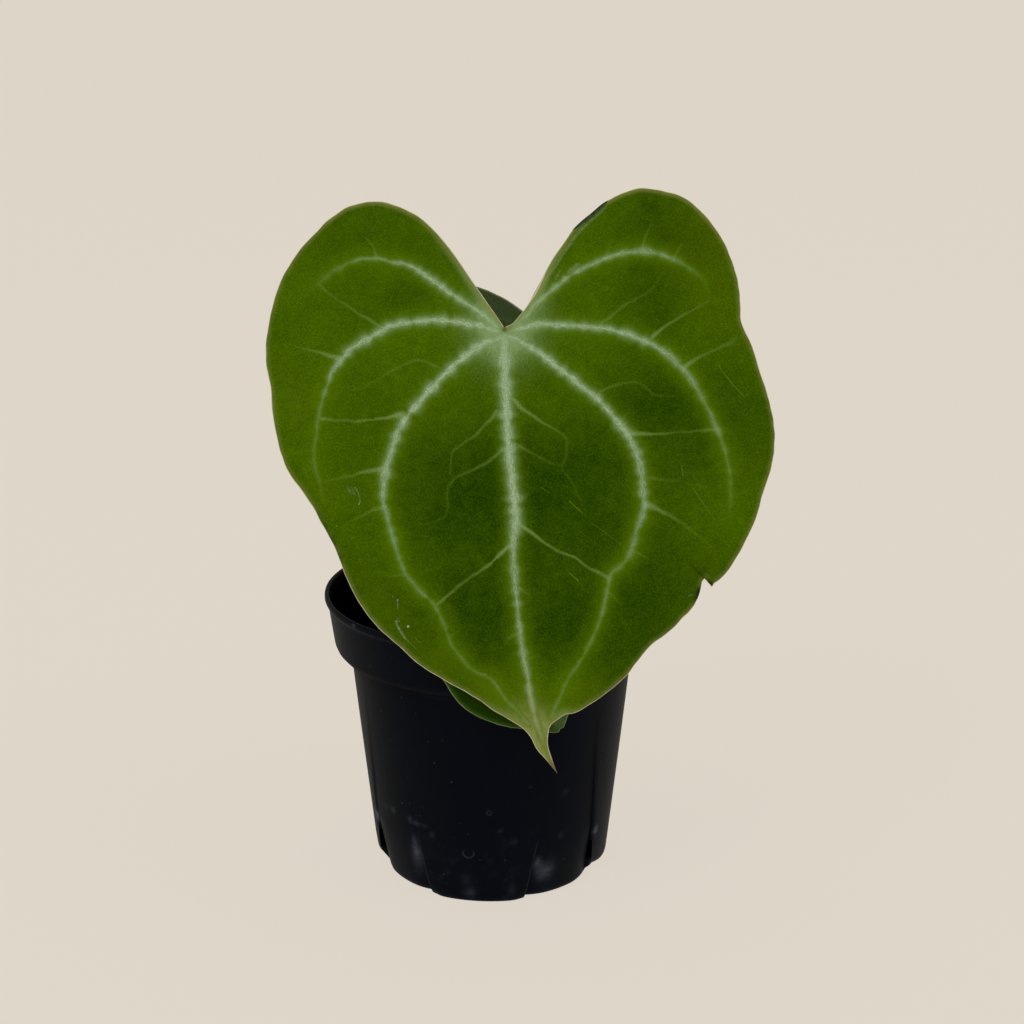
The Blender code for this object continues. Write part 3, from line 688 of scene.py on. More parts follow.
# Sizes and widths are in mm.
leafLook = {
    "grainSize": 0.42, "grain": 0.78, "mottling": 0.26, "drift": 0.2,
    "level": 0.41,              # lightness of plain tissue, from deep at 0 to light at 1
    "darkness": 0.35,           # how much a dark patch takes off it
    "deep": (20, 49, 0), "light": (96, 131, 2), "brown": (66, 70, 2), "yellow": (92, 114, 8),
    "haloReach": 6.5, "halo": (80, 111, 4), "haze": (124, 152, 100), "paleBand": (122, 146, 86),
    "straw": (152, 156, 100), "strawDark": (120, 132, 66), "tip": (112, 96, 62), "notch": (98, 92, 36),
    "vein": (120, 148, 102), "veinCore": (160, 184, 152), "tailVein": (156, 166, 122),
    "sideVein": (82, 112, 6), "strongVein": (138, 168, 116), "speck": (208, 224, 204),
    # of these, the darkest green is painted shade where the margin curls back and beside the tear
    "mark": (104, 130, 34), "fleck": (150, 168, 132), "marginShade": (18, 42, 6),
    "rim": (204, 195, 172), "rimWidth": 0.32, "rimStrength": 0.95,
    "rimGreen": (120, 130, 60), "rimGlow": 0.9,
    # the rolled margin's width, then its painted shade at the edge, and its painted shade and painted sheen
    "rollWidth": 1.7, "rollEdgeShade": (16, 30, 6), "rollShade": (26, 44, 16), "rollSheen": (66, 82, 60),
    "underDeep": (66, 88, 44), "under": (92, 114, 66), "underVein": (136, 152, 104), "underStrength": 0.9,
    "roughness": 0.66, "gloss": 0.014, "glossTint": (0.75, 1.0, 0.45, 1.0),
    "sheen": 0.012, "sheenTint": (0.5, 0.75, 0.12, 1.0),
}

# What the leaves share, in mm and degrees, unless one of them says otherwise.
anyLeaf = {
    "roll": 0.0, "sweep": (0.0, 1.0), "thickness": 0.7, "rimRadius": 0.26,
    "stalkEnd": 1.25,           # how far below the blade's middle its stalk ends
    "swell": 0.45, "groove": 0.14, "rib": 0.75, "curl": 0.0, "curlWidth": 2.0,
    "raggedSize": 6.0, "evenReach": 6,
    "wander": 0.09, "wanderSize": 5.0, "unevenness": 0.16,
}

# The large front leaf. Its outline runs clockwise from the notch, and its tip hangs in a drip tail that is
# swept to the right. A vein or a mark is a row of its path, widths, strengths and tones from start to end.
frontLeaf = {
    **anyLeaf,
    "base": (4.3, -31.7, 183.8), "heading": 0.0, "lean": 22.0, "sweep": (15.5, 130.5),
    "lengthBend": 700.0, "widthBend": 400.0, "wave": 1.0, "curl": 0.35, "curlWidth": 2.6,
    "hub": (0.5, -5.0), "spacing": 1.02, "upperRings": 132, "lowerRings": 40,
    "quilt": 0.10, "ragged": 0.05, "seed": 3,
    "outline": [
        (0, 0), (2.3, 1.2), (4.4, 3.8), (7.3, 7.4), (9.7, 11.2), (13.5, 19.5), (17.9, 26.1), (20.9, 30.4),
        (25.3, 34.3), (30.7, 38.5), (39.3, 42), (46.2, 41.4), (52.8, 39.8), (57.9, 36.2), (62.2, 31.6),
        (65.6, 26.3), (67.9, 20.4), (69.5, 14.3), (70, 8), (70.4, 1.8), (73.3, -4.3), (75.4, -10.8),
        (77.9, -17.9), (79.9, -25.5), (80.5, -33.4), (79.2, -41), (76.7, -48.4), (74.3, -56.2),
        (70.8, -63.4), (66.6, -70.6), (63.4, -74.1), (62, -74.95), (61.3, -76), (59.15, -73.4),
        (58.35, -74.5), (58.05, -76), (57.6, -77.7), (56.5, -80.2), (55.2, -82.5), (49, -88.7), (42.1, -94),
        (35.8, -101.7), (28.1, -108.1), (21, -112.4), (17.7, -113.2), (13.8, -116.1), (13, -118.2),
        (12.8, -122), (14.1, -126.5), (15.6, -130.6), (12, -126.2), (9.5, -123.4), (7.5, -119.5),
        (4.1, -116.4), (-2, -112.9), (-8.5, -108.4), (-17, -103.5), (-24.6, -98.7), (-31.3, -92.6),
        (-37.5, -87), (-42.8, -80), (-46.6, -72.4), (-49.6, -64.8), (-53, -58.4), (-56.3, -52.5),
        (-60, -47.2), (-63.7, -41.9), (-66.1, -35.6), (-67.6, -29.4), (-68.6, -23.1), (-69.2, -16.6),
        (-70.5, -10.6), (-70.7, -4.3), (-69.8, 1.9), (-68.5, 7.9), (-66.5, 13.9), (-63.8, 19.2),
        (-60.5, 24.3), (-56.9, 28.4), (-52.7, 32.8), (-47.7, 36.3), (-41.7, 37.9), (-34.9, 37.6),
        (-26.2, 33.7), (-20.6, 28.9), (-15, 22.1), (-8.8, 13), (-4.7, 7.1), (-1.2, 2.1),
    ],
    "corners": (0, 32, 33, 49),
    "main": [
        ([(0, -2.5), (0.1, -12), (0.6, -21), (0.9, -28), (1.5, -36), (2.6, -46), (3.1, -52), (3.4, -57),
          (2.7, -63), (3, -72), (3.8, -80), (4.3, -86), (5.2, -93.5), (6.7, -101), (7.6, -108),
          (9.1, -114.5), (11.4, -120.5), (13.2, -125), (15.2, -129.8)],
         (2.6, 3.8, 3.7, 3.4, 3.3, 3.1, 3, 3.1, 3.2, 2.7, 2.3, 2.1, 2.1, 2.2, 2.1, 1.9, 1.7, 1.2, 0.6),
         (0.9, 1, 1, 1, 1, 1, 1, 1, 0.93, 0.83, 0.83, 0.84, 0.82, 0.84, 0.86, 0.88, 0.8, 0.55, 0.3),
         (0, 0, 0, 0, 0, 0, 0, 0, 0, 0, 0, 0, 0, 0.15, 0.5, 0.8, 1, 1, 1)),
        ([(-1, -3), (-5.2, -4.2), (-9.8, -7.2), (-15.4, -11.8), (-20.8, -17.3), (-25.8, -23), (-30.2, -28.8),
          (-33, -36), (-34.9, -43), (-35.4, -50), (-33.8, -57), (-31.4, -64.5), (-28.9, -71.5), (-25, -76.5),
          (-20, -81.5), (-17.5, -87), (-15.4, -92.5), (-12, -97.2), (-8, -101), (-3.5, -103.2), (-1, -107),
          (2.5, -111), (5, -113.5), (7.5, -116)],
         (2.6, 2.8, 2.7, 2.5, 2.4, 2.5, 2.4, 2.8, 2.8, 2.3, 2, 1.7, 1.5, 1.6, 1.2, 1, 1.1, 1, 1.1, 1.2, 1.6),
         (0.9, 1, 1, 1, 1, 0.95, 0.9, 0.9, 0.87, 0.77, 0.72, 0.68, 0.6, 0.66, 0.6, 0.58, 0.56, 0.58, 0.6,
          0.64, 0.66), (0, 0, 0, 0, 0, 0, 0, 0, 0, 0, 0, 0, 0, 0, 0, 0, 0, 0, 0, 0.4, 1)),
        ([(-1.5, -1), (-5, 0), (-11.2, 1.4), (-18.4, 2.3), (-25.4, 1.9), (-32.6, 0.9), (-38.3, -2.1),
          (-45, -6.1), (-49.7, -11.4), (-52.6, -18), (-54.3, -24.6), (-55.2, -31), (-55.8, -37.8),
          (-54.4, -45), (-53, -50.5)], (2.2, 2.4, 2.6, 2.3, 2.2, 2.4, 2.5, 2.3, 1.9, 1.5, 1.3, 1.2, 1.1, 1),
         (0.85, 0.97, 0.97, 0.96, 0.95, 0.95, 0.93, 0.86, 0.75, 0.66, 0.58, 0.55, 0.5, 0.25)),
        ([(-2.5, 0.5), (-6, 3.8), (-12.5, 8.1), (-19.5, 13), (-26.5, 18.1), (-32.5, 19.8), (-37.5, 21),
          (-42.5, 20.8), (-46.3, 19.4), (-51, 17), (-54.6, 13.8), (-58, 10.8)],
         (2.1, 2, 1.9, 1.9, 2, 1.7, 1.6, 1.4, 1.6, 1),
         (0.85, 0.97, 0.96, 0.94, 0.94, 0.8, 0.77, 0.58, 0.42, 0.15)),
        ([(1.5, -2.5), (5.4, -4.2), (10.1, -7.3), (16, -11.8), (21.7, -16.4), (27.2, -20.9), (32.2, -26.3),
          (36.7, -32.2), (39.4, -38.7), (40.4, -45.7), (41, -52.7), (38.8, -59.3), (36.9, -66),
          (34.3, -69.5), (31.3, -72), (29.9, -78.2), (28.1, -85), (25.4, -91.6), (22, -97.6), (18.2, -103.5),
          (15.6, -109.7), (13.5, -114)],
         (2.4, 2.5, 2.3, 2.3, 2.2, 2.2, 2.8, 2.8, 2.7, 2.6, 1.9, 2, 1.7, 1.6, 1.2, 1.1, 1.1, 1.2, 1.5),
         (0.9, 1, 1, 0.97, 0.95, 0.92, 0.93, 0.84, 0.82, 0.81, 0.7, 0.64, 0.64, 0.68, 0.64, 0.6, 0.58, 0.6,
          0.6), (0, 0, 0, 0, 0, 0, 0, 0, 0, 0, 0, 0, 0, 0, 0, 0, 0, 0.2, 1)),
        ([(2, -1), (5.5, 0.2), (11, 1.1), (18, 0.7), (25, 0.3), (32, -0.6), (38.5, -2.6), (44.8, -5.4),
          (50.2, -9.5), (54.8, -14.5), (58.7, -20.9), (62, -27.5), (64.5, -34), (66.4, -41), (66.7, -48.4),
          (66.5, -56)], (1.8, 2.4, 2.3, 2.1, 2, 2, 2.2, 2.6, 2.4, 1.9, 2.2, 1.5, 1.3, 1.1, 1),
         (0.9, 0.96, 0.95, 0.92, 0.95, 0.95, 0.87, 0.79, 0.74, 0.64, 0.68, 0.6, 0.54, 0.48, 0.2)),
        ([(3, 1), (6.5, 3.5), (9.5, 7.3), (14, 11.3), (19.5, 15.6), (25, 18.6), (30.5, 21.1), (36, 22.6),
          (40.5, 23.1), (45, 22.6), (50, 21), (54.5, 18.5), (58.5, 15.5), (60.3, 11.5)],
         (2, 2, 2, 1.9, 1.9, 2.1, 2.2, 2.2, 1.7, 1.4),
         (0.7, 0.85, 0.86, 0.85, 0.84, 0.84, 0.77, 0.7, 0.46, 0.15)),
    ],
    "side": [
        ([(-2, -24.5), (-8.5, -31.5), (-15, -36.6), (-15.5, -43)], (1.6, 0.9, 0.8), (0.6, 0.4, 0.32, 0.25)),
        ([(-0.5, -36), (-6, -40), (-14.5, -44.4), (-16.5, -48), (-16.5, -53.5), (-19, -56.3), (-30.5, -59)],
         (1.5, 0.9, 0.8), (0.6, 0.38, 0.3, 0.25, 0.2, 0.15, 0.05)),
        ([(1, -64), (-4.9, -69.7), (-11.6, -74.2), (-19.5, -81)], (2, 1.2, 1, 1, 1.4),
         (0.75, 0.6, 0.42, 0.44, 0.6)),
        ([(2, -20.5), (7.5, -25.4), (15.5, -30.3), (18, -32.5), (18, -38), (17, -41), (20.5, -46.5),
          (23.5, -53)], (1.8, 0.9, 0.9, 0.8), (0.75, 0.6, 0.52, 0.3, 0.25, 0.22, 0.2, 0.1)),
        ([(2.5, -34), (6, -35.5), (12.5, -39.3), (16.5, -40.5)], (1.3, 0.8), (0.55, 0.27, 0.24)),
        ([(4, -57), (11, -62.3), (14.9, -64.9), (20, -67), (24.6, -70.1), (30.5, -73)],
         (2.2, 1.2, 1, 1, 1, 1.6), (0.8, 0.62, 0.52, 0.55, 0.5, 0.6)),
        ([(4.5, -76), (8, -78.5)], (1.4, 0.5), (0.5, 0.1)),
        ([(-29.8, -25.6), (-37.6, -26.8), (-43, -27.3), (-53.5, -26.8)], (2.6, 1.1, 0.9, 0.9, 0.9, 2),
         (0.8, 0.62, 0.57, 0.5, 0.4, 0.6)),
        ([(-35, -41), (-38.5, -41.7), (-44.3, -43.1), (-49.6, -44.3), (-53.5, -45.2)], (2.6, 1.2, 0.8, 0.8),
         (0.75, 0.6, 0.4, 0.32, 0.3)),
        ([(-35, -52.5), (-38.4, -53.5), (-43, -55.7), (-47, -58)], (2, 1.1, 0.8), (0.6, 0.4, 0.28, 0.1)),
        ([(-35, -0.5), (-38, 1.6), (-43, 4.5), (-51.5, 10.5), (-54.6, 13.5)], (2, 1, 0.9, 0.8, 1.4),
         (0.6, 0.5, 0.4, 0.36, 0.4)),
        ([(-48, -9), (-51, -8), (-56.3, -6.4), (-59.5, -5.6), (-65, -4)], (2.4, 1.5, 1.2, 0.9),
         (0.75, 0.6, 0.45, 0.3, 0.12)),
        ([(-37.5, 21), (-39, 25), (-41, 27.5)], (1.4, 0.6), (0.5, 0.15)),
        ([(-26.5, 18.5), (-28, 20.5)], (1.4, 0.5), (0.5, 0.2)),
        ([(-18.5, -12), (-25, -9.5), (-30.5, -11.5), (-36, -14.5), (-41, -17.5), (-45, -18)], (1, 0.8),
         (0.4, 0.42, 0.3, 0.24, 0.18)),
        ([(40.5, 22.8), (41.6, 27), (44, 33)], (1.8, 0.9, 0.6), (0.55, 0.3, 0.1)),
        ([(29.5, 20.8), (32, 26)], (1.2, 0.5), (0.5, 0.12)),
        ([(50, 21), (51.7, 24.2), (53.5, 26.5)], (1.5, 0.6), (0.5, 0.25, 0.1)),
        ([(42, -4.2), (45, -1.2), (49.5, 2), (56, 6), (60.5, 8.5)], (2, 1, 0.9, 0.8),
         (0.7, 0.56, 0.46, 0.38, 0.28)),
        ([(53, -11.5), (55.6, -9.2), (60, -7), (65, -4.8), (69.5, -2)], (2.2, 1.2, 0.9, 1.6, 2),
         (0.7, 0.5, 0.4, 0.42, 0.15)),
        ([(36.2, -31), (39, -31.1), (45, -31.1), (53, -30.4), (63, -29.6)], (3, 1.4, 0.9, 0.8, 0.9, 2.4),
         (0.8, 0.6, 0.46, 0.3, 0.36, 0.65)),
        ([(40.5, -43.6), (44.5, -44.2), (51, -45), (59.5, -46.5), (66.5, -47)], (2, 0.8, 0.7),
         (0.45, 0.2, 0.14, 0.15)),
        ([(41.2, -51.6), (44.3, -52.8), (49.2, -55.3), (54.2, -58.7), (61, -64.3)], (2.8, 1.4, 0.9, 0.8),
         (0.75, 0.52, 0.34, 0.28, 0.15)),
        ([(37.5, -65), (41, -66.8), (44, -68.5)], (1.6, 0.8), (0.5, 0.22, 0.1)),
        ([(30.2, -77.2), (34.5, -81)], (1.2, 0.5), (0.4, 0.1)),
        ([(28, -18.5), (32, -17), (37, -16), (40, -16.5), (44.5, -19.5), (51, -20)], (1, 0.8),
         (0.4, 0.34, 0.28, 0.22, 0.12)),
        ([(28, 1), (32, 4), (36.4, 7.4), (42.5, 11), (47, 17)], (1.2, 0.9, 0.7),
         (0.5, 0.4, 0.3, 0.22, 0.15)),
        ([(5, -89), (2, -90.5), (-1, -94)], (1.8, 0.8), (0.6, 0.3, 0.1)),
        ([(6, -97.5), (10, -95.5)], (1.4, 0.6), (0.5, 0.1)),
        ([(-19, -62), (-24, -61), (-30, -60)], (0.8, 0.6), (0.15, 0.15)),
        ([(65.5, -38), (60, -42), (52, -43.5)], (1.2, 0.6), (0.25, 0.12, 0.05)),
        ([(-16, -90.5), (-13, -88.5)], (1.2, 0.5), (0.35, 0.1)),
        ([(-28.5, -72), (-33, -72.5), (-38, -71)], (1.4, 0.7), (0.4, 0.22, 0.08)),
    ],
    "mark": [
        ([(62.7, -10.2), (66.5, -15), (71.2, -20)], (0.32,), (0.5, 0.9, 0.5), (0.3,)),
        ([(52, -40.3), (52.4, -43.5)], (0.4,), (0.8,)),
        ([(55.3, -46.8), (58.5, -51.5), (62, -56.2)], (0.3,), (0.7, 0.8, 0.4)),
        ([(50, -38), (57, -45), (64, -54)], (0.22,), (0.3, 0.4, 0.2)),
        ([(18.8, -50.6), (23, -54.4)], (0.34,), (0.9,)),
        ([(10.5, -46.6), (13.3, -48.5)], (0.26,), (0.6,)),
        ([(25.3, -57), (31, -61), (36.5, -65.5)], (0.24,), (0.5, 0.6, 0.3)),
        ([(14, -54), (24, -61), (33, -68)], (0.2,), (0.3, 0.35, 0.2)),
        ([(18.8, -71.5), (21.8, -74.1)], (0.45,), (0.9,)),
        ([(19, 16.6), (21.6, 18.9)], (1.9, 1.5), (0.3, 0.25), (0.8,)),
        ([(15.1, 14.6), (16.6, 17.2)], (1.1, 0.8), (0.3, 0.25), (0.7,)),
        ([(15.3, 18.5), (18.2, 23.3), (21.2, 27.6), (24, 30.6), (27.5, 33.8), (30, 36)],
         (1, 1.3, 1.4, 1.2, 1), (0.25, 0.36, 0.42, 0.34, 0.15), (0.55,)),
        ([(5.2, 5.2), (10, 11.6), (15.3, 18.5)], (1,), (0.1, 0.2, 0.3), (0.55,)),
        ([(-43.8, -46.6), (-43, -47.6), (-42.45, -49.4), (-42.15, -51), (-42.7, -52)], (0.45,),
         (0.3, 0.45, 0.4, 0.5, 0.8), (0.9,)),
        ([(-45.5, -47.5), (-44.5, -48.5)], (1.6,), (0.15,), (0.9,)),
        ([(-32.6, -78.2), (-32.4, -78.8)], (0.4,), (0.35,), (0.7,)),
        ([(-31.1, -79.4), (-31, -82.2)], (0.6, 0.4), (0.5, 0.3), (0.7,)),
        ([(-32.1, -83.8), (-30.2, -85.8)], (0.3,), (0.3,), (0.7,)),
        ([(-31.8, -84.6), (-31.2, -87), (-29, -90.6)], (0.3, 1.1, 0.9), (0.3, 0.5, 0.4), (0.8,)),
        ([(-29, -90.6), (-25, -94.6)], (0.35, 0.25), (0.45, 0.25), (0.6,)),
        ([(-28, -87.3)], (1,), (1.6,), (1,)),
        ([(54.2, -78.6), (55.4, -78.2)], (1,), (0.12,), (0.9,)),
        ([(-26, -90.5), (-24.4, -92.2)], (0.3,), (0.6,), (0.3,)),
        ([(-7.4, -101), (-5, -101.6)], (0.5,), (0.3,), (0.6,)),
        ([(-52.5, 5)], (0.4,), (0.6,), (0.6,)),
        ([(-46, -46)], (0.35,), (0.6,), (0.8,)),
        ([(-49.2, -58)], (0.45,), (0.9,), (0.8,)),
        ([(-44.5, -61.5)], (0.4,), (0.8,), (0.6,)),
        ([(22.4, -11.5)], (0.35,), (0.5,), (0.6,)),
        ([(42.5, 22.6)], (0.5,), (1.4,), (1,)),
    ],
    "patches": {            # x, v, reach, strength
        "dark": [(-13, -50, 22, 0.72), (22, -48, 24, 0.78), (-10, -84, 17, 0.6), (19, -86, 17, 0.6),
            (75, -30, 12, 0.3), (-44, 8, 10, 0.2), (-27, 12, 8, 0.35), (45, 4, 8, 0.2), (46, -20, 14, 0.62),
            (42.5, 36.4, 3.4, 0.35), (45, -76, 16, 0.55), (58, -40, 12, 0.3), (42, 11, 14, 0.35),
            (44, 32, 18, 0.35), (-42, 30, 14, 0.25), (66, -20, 14, 0.25), (-30, -88, 12, 0.35),
            (-42, -30, 8, 0.15), (14, -14, 5, 0.2), (-46, -78, 14, 0.3), (36, -100, 14, 0.4),
            (-10, -100, 10, 0.4)],
        "haze": [(0, -1.5, 6.2, 1.7), (0, -2, 9.6, 0.4), (-6.5, 6, 4, 0.42), (8, 6.5, 4.5, 0.42)],
        "brown": [(57, 26, 17, 0.45), (68, 5, 14, 0.3), (76, -40, 12, 0.3), (-58, 24, 12, 0.25),
            (0.1, -0.5, 1.1, 1.5), (60, -70, 12, 0.3), (-56, -50, 8, 0.35), (-46, -74, 10, 0.2),
            (0, 34, 40, 0.1)],
        "yellow": [(-40, -80, 9, 0.15), (-30, -90, 9, 0.15), (-18, -99, 8, 0.25), (-4, -107, 7, 0.4),
            (9, -113, 6, 0.4), (24, -107, 7, 0.25), (-66, -20, 9, 0.2)],
        "pale": [(5, 5, 6, 1), (10.5, 13, 6, 0.9), (15, 21, 6, 0.6), (-4, 6, 6, 1), (-10, 15, 6, 0.85),
            (-16, 23, 6, 0.45), (16, -112, 4, 0.6), (2, -113, 5, 0.5)],
        # where the margin rolls back: it curls a little and is painted with shade and sheen
        "rolled": [(21.5, 30.9, 2.4, 0.6), (24.8, 34, 3, 1), (28.5, 36.8, 2.8, 0.7)],
        "shade": [(-56, -54, 2.2, 0.4), (-53.6, -58.5, 2.4, 0.6), (-51, -63, 2.2, 0.6), (-49, -67.5, 2, 0.5),
            (57.8, -77.4, 1.5, 1), (56.9, -79.6, 1.5, 0.65), (60.5, -75.3, 1.2, 1), (41.5, 37.4, 2, 0.45),
            (44, 37.6, 2, 0.35)],
        "straw": [(9, -113, 3.2, 0.25), (4.5, -113.5, 4, 0.35), (15, -113.5, 2.5, 0.1), (9.5, -117, 4, 1.1),
            (11.5, -121, 3.6, 1.5), (13.5, -125.5, 3.5, 1.6), (15.5, -130, 3.5, 1.6)],
    },
}
frontVelvet = leafMaterial("velvet_leaf_front", leafLook)
makeBlade("frontLeafBlade", frontLeaf, frontVelvet, "leaf_front", "leaf_front_blade")
print("stage 3: front leaf made")


# Half the outline, the main veins and the side veins of a plain leaf, in shares of its length from base to
# tip.
plainLeaf = {
    "half": [
        (0.0, 0.0), (0.04, 0.06), (0.10, 0.15), (0.17, 0.235), (0.26, 0.295), (0.36, 0.30), (0.45, 0.25),
        (0.51, 0.15), (0.54, 0.03), (0.53, -0.12), (0.50, -0.28), (0.45, -0.44), (0.38, -0.58),
        (0.29, -0.71), (0.18, -0.84), (0.08, -0.92), (0.03, -0.965), (0.0, -1.0),
    ],
    "midrib": [(0.0, -0.04), (0.01, -0.3), (0.02, -0.6), (0.0, -0.96)],
    "veins": [
        [(0.02, -0.04), (0.14, -0.12), (0.24, -0.24), (0.27, -0.4), (0.22, -0.58), (0.13, -0.76),
         (0.03, -0.92)],
        [(0.03, 0.0), (0.17, 0.02), (0.32, -0.02), (0.41, -0.14), (0.44, -0.32)],
        [(0.04, 0.03), (0.14, 0.12), (0.26, 0.17), (0.37, 0.15), (0.45, 0.05)],
    ],
    "branches": [
        [(0.01, -0.18), (0.08, -0.25), (0.16, -0.31), (0.25, -0.34)],
        [(0.015, -0.35), (0.1, -0.43), (0.18, -0.5), (0.24, -0.53)],
        [(0.02, -0.52), (0.09, -0.59), (0.19, -0.66)],
        [(0.015, -0.68), (0.07, -0.75), (0.13, -0.79)],
        [(0.24, -0.24), (0.32, -0.22), (0.41, -0.20)],
        [(0.27, -0.4), (0.35, -0.4), (0.43, -0.37), (0.48, -0.36)],
        [(0.24, -0.55), (0.32, -0.57), (0.39, -0.54)],
        [(0.32, -0.02), (0.4, 0.01), (0.48, 0.05), (0.52, 0.06)],
        [(0.41, -0.14), (0.47, -0.12), (0.53, -0.1)],
        [(0.26, 0.17), (0.3, 0.23), (0.33, 0.28)],
        [(0.37, 0.15), (0.42, 0.19), (0.44, 0.22)],
        [(0.17, 0.02), (0.24, 0.07), (0.32, 0.1), (0.38, 0.12)],
    ],
}


# A path in mm from one in shares of the length; sign -1 mirrors it.
def scaled(path, length, sign=1.0):
    return [(sign * x * length, v * length) for x, v in path]


# Both halves of a plain leaf's veins at a given length, as rows for strokes; their widths follow the length
# too.
def plainVeins(length):
    width = length / 40.0
    main = [(scaled(plainLeaf["midrib"], length), (width * 1.25, width, width * 0.5), (1, 1, 0.9, 0.4))]
    side = []
    for sign in (1.0, -1.0):
        for path in plainLeaf["veins"]:
            main.append((scaled(path, length, sign), (width, width * 0.9, width * 0.4), (1, 0.95, 0.8, 0.2)))
        for path in plainLeaf["branches"]:
            side.append((scaled(path, length, sign), (0.9, 0.6), (0.75, 0.5, 0.25)))
    return main, side


# The right half from base to tip and its mirror image back; base and tip are corners.
def plainOutline(length):
    right = scaled(plainLeaf["half"], length)
    left = [(-x, v) for x, v in reversed(right[1:-1])]
    return right + left, (0, len(right) - 1)


# The leaf at the back shows the camera its underside through the notch, and its upper side to the rear. The
# lobe behind the notch stands higher than the plain outline's: raised tells by how much at which points.
backLeaf = {
    **anyLeaf,
    "base": (24.0, 24.0, 165.5), "heading": 163.0, "lean": 38.0, "length": 98.0,
    "lengthBend": 260.0, "widthBend": 160.0, "wave": 1.2,
    "hub": (0.0, -4.0), "spacing": 1.05, "upperRings": 88, "lowerRings": 70,
    "quilt": 0.14, "ragged": 0.10, "seed": 7,
    "raised": ((2, 2.1), (3, 3.2), (4, 2.8), (5, 1.5)),
    "mark": [([(20, -30), (24, -34)], (0.3,), (0.5,)), ([(-31, 12), (-29, 8)], (0.3,), (0.4,))],
    "patches": {
        "dark": [(-13, -40, 16, 0.8), (13, -40, 16, 0.8), (0, -75, 14, 0.4), (-34, -10, 14, 0.4),
                 (34, -10, 14, 0.5)],
        "haze": [(0, -4, 5, 0.85)],
        "brown": [(44, 12, 12, 0.3), (-46, -8, 12, 0.25)],
        "yellow": [(0, -92, 8, 0.8), (18, -80, 8, 0.4), (-18, -80, 8, 0.4)],
        "pale": [(5, 7, 6, 0.9), (-5, 7, 6, 0.9), (12, 17, 6, 0.8), (-12, 17, 6, 0.8)],
    },
}
backLook = {
    **leafLook, "underDeep": (78, 100, 62), "under": (98, 120, 82), "underVein": (104, 126, 86),
    "underStrength": 0.4, "rimStrength": 0.25, "rimGlow": 0.3,
}
backLeaf["main"], backLeaf["side"] = plainVeins(backLeaf["length"])
backLeaf["outline"], backLeaf["corners"] = plainOutline(backLeaf["length"])
for spotNumber, extra in backLeaf["raised"]:
    spotX, spotV = backLeaf["outline"][spotNumber]
    backLeaf["outline"][spotNumber] = (spotX, spotV + extra)
backVelvet = leafMaterial("velvet_leaf_back", backLook)
makeBlade("backLeafBlade", backLeaf, backVelvet, "leaf_back", "leaf_back_blade")

# The small leaf hangs over the rim in the large one's shade. Its colours are painted darker still, as
# painted shade. It is younger, darker and glossier.
lowLeaf = {
    **anyLeaf,
    "base": (-1.2, -34.1, 109.9), "heading": 2.4, "lean": 77.0, "roll": 19.6, "length": 58.0,
    "lengthBend": 32.0, "widthBend": 104.0, "wave": 0.5, "stalkEnd": 0.6,
    "hub": (0.0, -3.0), "spacing": 0.62, "upperRings": 80, "lowerRings": 40, "rimRadius": 0.24,
    "swell": 0.3, "groove": 0.1, "rib": 0.55, "quilt": 0.08, "seed": 11,
    "ragged": 0.05, "raggedSize": 5.0, "evenReach": 4, "wander": 0.06, "wanderSize": 3.0,
    "outline": [
        (0, 0), (4, 6.5), (9.5, 12), (15.5, 11.5), (20, 6), (22, -5), (21.5, -17), (19, -29), (15, -40),
        (10, -49), (5.5, -56), (4.6, -57.3), (3.4, -59.2), (2.3, -60.8), (1.2, -61), (0.4, -62.3),
        (-0.8, -62.1), (-2.5, -60.6), (-9, -55), (-14.5, -50.3), (-22.5, -41), (-25.5, -31), (-27.5, -19),
        (-28, -6), (-26.5, 5), (-22, 13), (-15, 15), (-8, 11), (-3, 4.5),
    ],
    "corners": (0, 13, 15),
    "mark": [([(8, -30), (10, -34)], (0.3,), (0.3,))],
    "patches": {
        # the dark patch over the whole blade is painted shade, and the haze at the tip is a painted sheen
        "dark": [(0, -20, 34, 0.9)], "haze": [(0, -3, 3, 0.8), (3, -58, 4, 0.35)],
        "pale": [(3, 5, 4, 0.6), (-3, 4, 4, 0.6)],
    },
}
# darker greens than the large leaf's: painted shade
lowLookInShade = {
    **leafLook, "deep": (20, 44, 2), "light": (40, 70, 8), "brown": (34, 52, 4), "halo": (52, 84, 26),
    "vein": (92, 124, 82), "veinCore": (110, 140, 100), "sideVein": (52, 82, 24), "rim": (110, 132, 82),
    "rimGreen": (70, 98, 36), "rimWidth": 0.55, "under": (86, 110, 60),
}
lowLeaf["main"], lowLeaf["side"] = plainVeins(lowLeaf["length"])
lowVelvet = leafMaterial("velvet_leaf_low", lowLookInShade)
makeBlade("lowLeafBlade", lowLeaf, lowVelvet, "leaf_low", "leaf_low_blade")
print("stage 4: back and low leaves made")


# A round tube along a path, closed at both ends: each ring is spot + radius * (cos a * sideways + sin a *
# upwards), where both directions stand square to the path, and sideways to the given direction as well.
def tube(path, radius, sides, square):
    tangent = unit(np.gradient(path, axis=0))
    sideways = unit(np.cross(tangent, np.array(square)))
    upwards = np.cross(tangent, sideways)
    angle = ringAngles(sides)
    ring = np.cos(angle)[None, :, None] * sideways[:, None] + np.sin(angle)[None, :, None] * upwards[:, None]
    caps = [np.repeat(path[end][None, None], sides, axis=1) for end in (0, -1)]
    return np.concatenate([caps[0], path[:, None] + ring * radius[..., None], caps[1]])


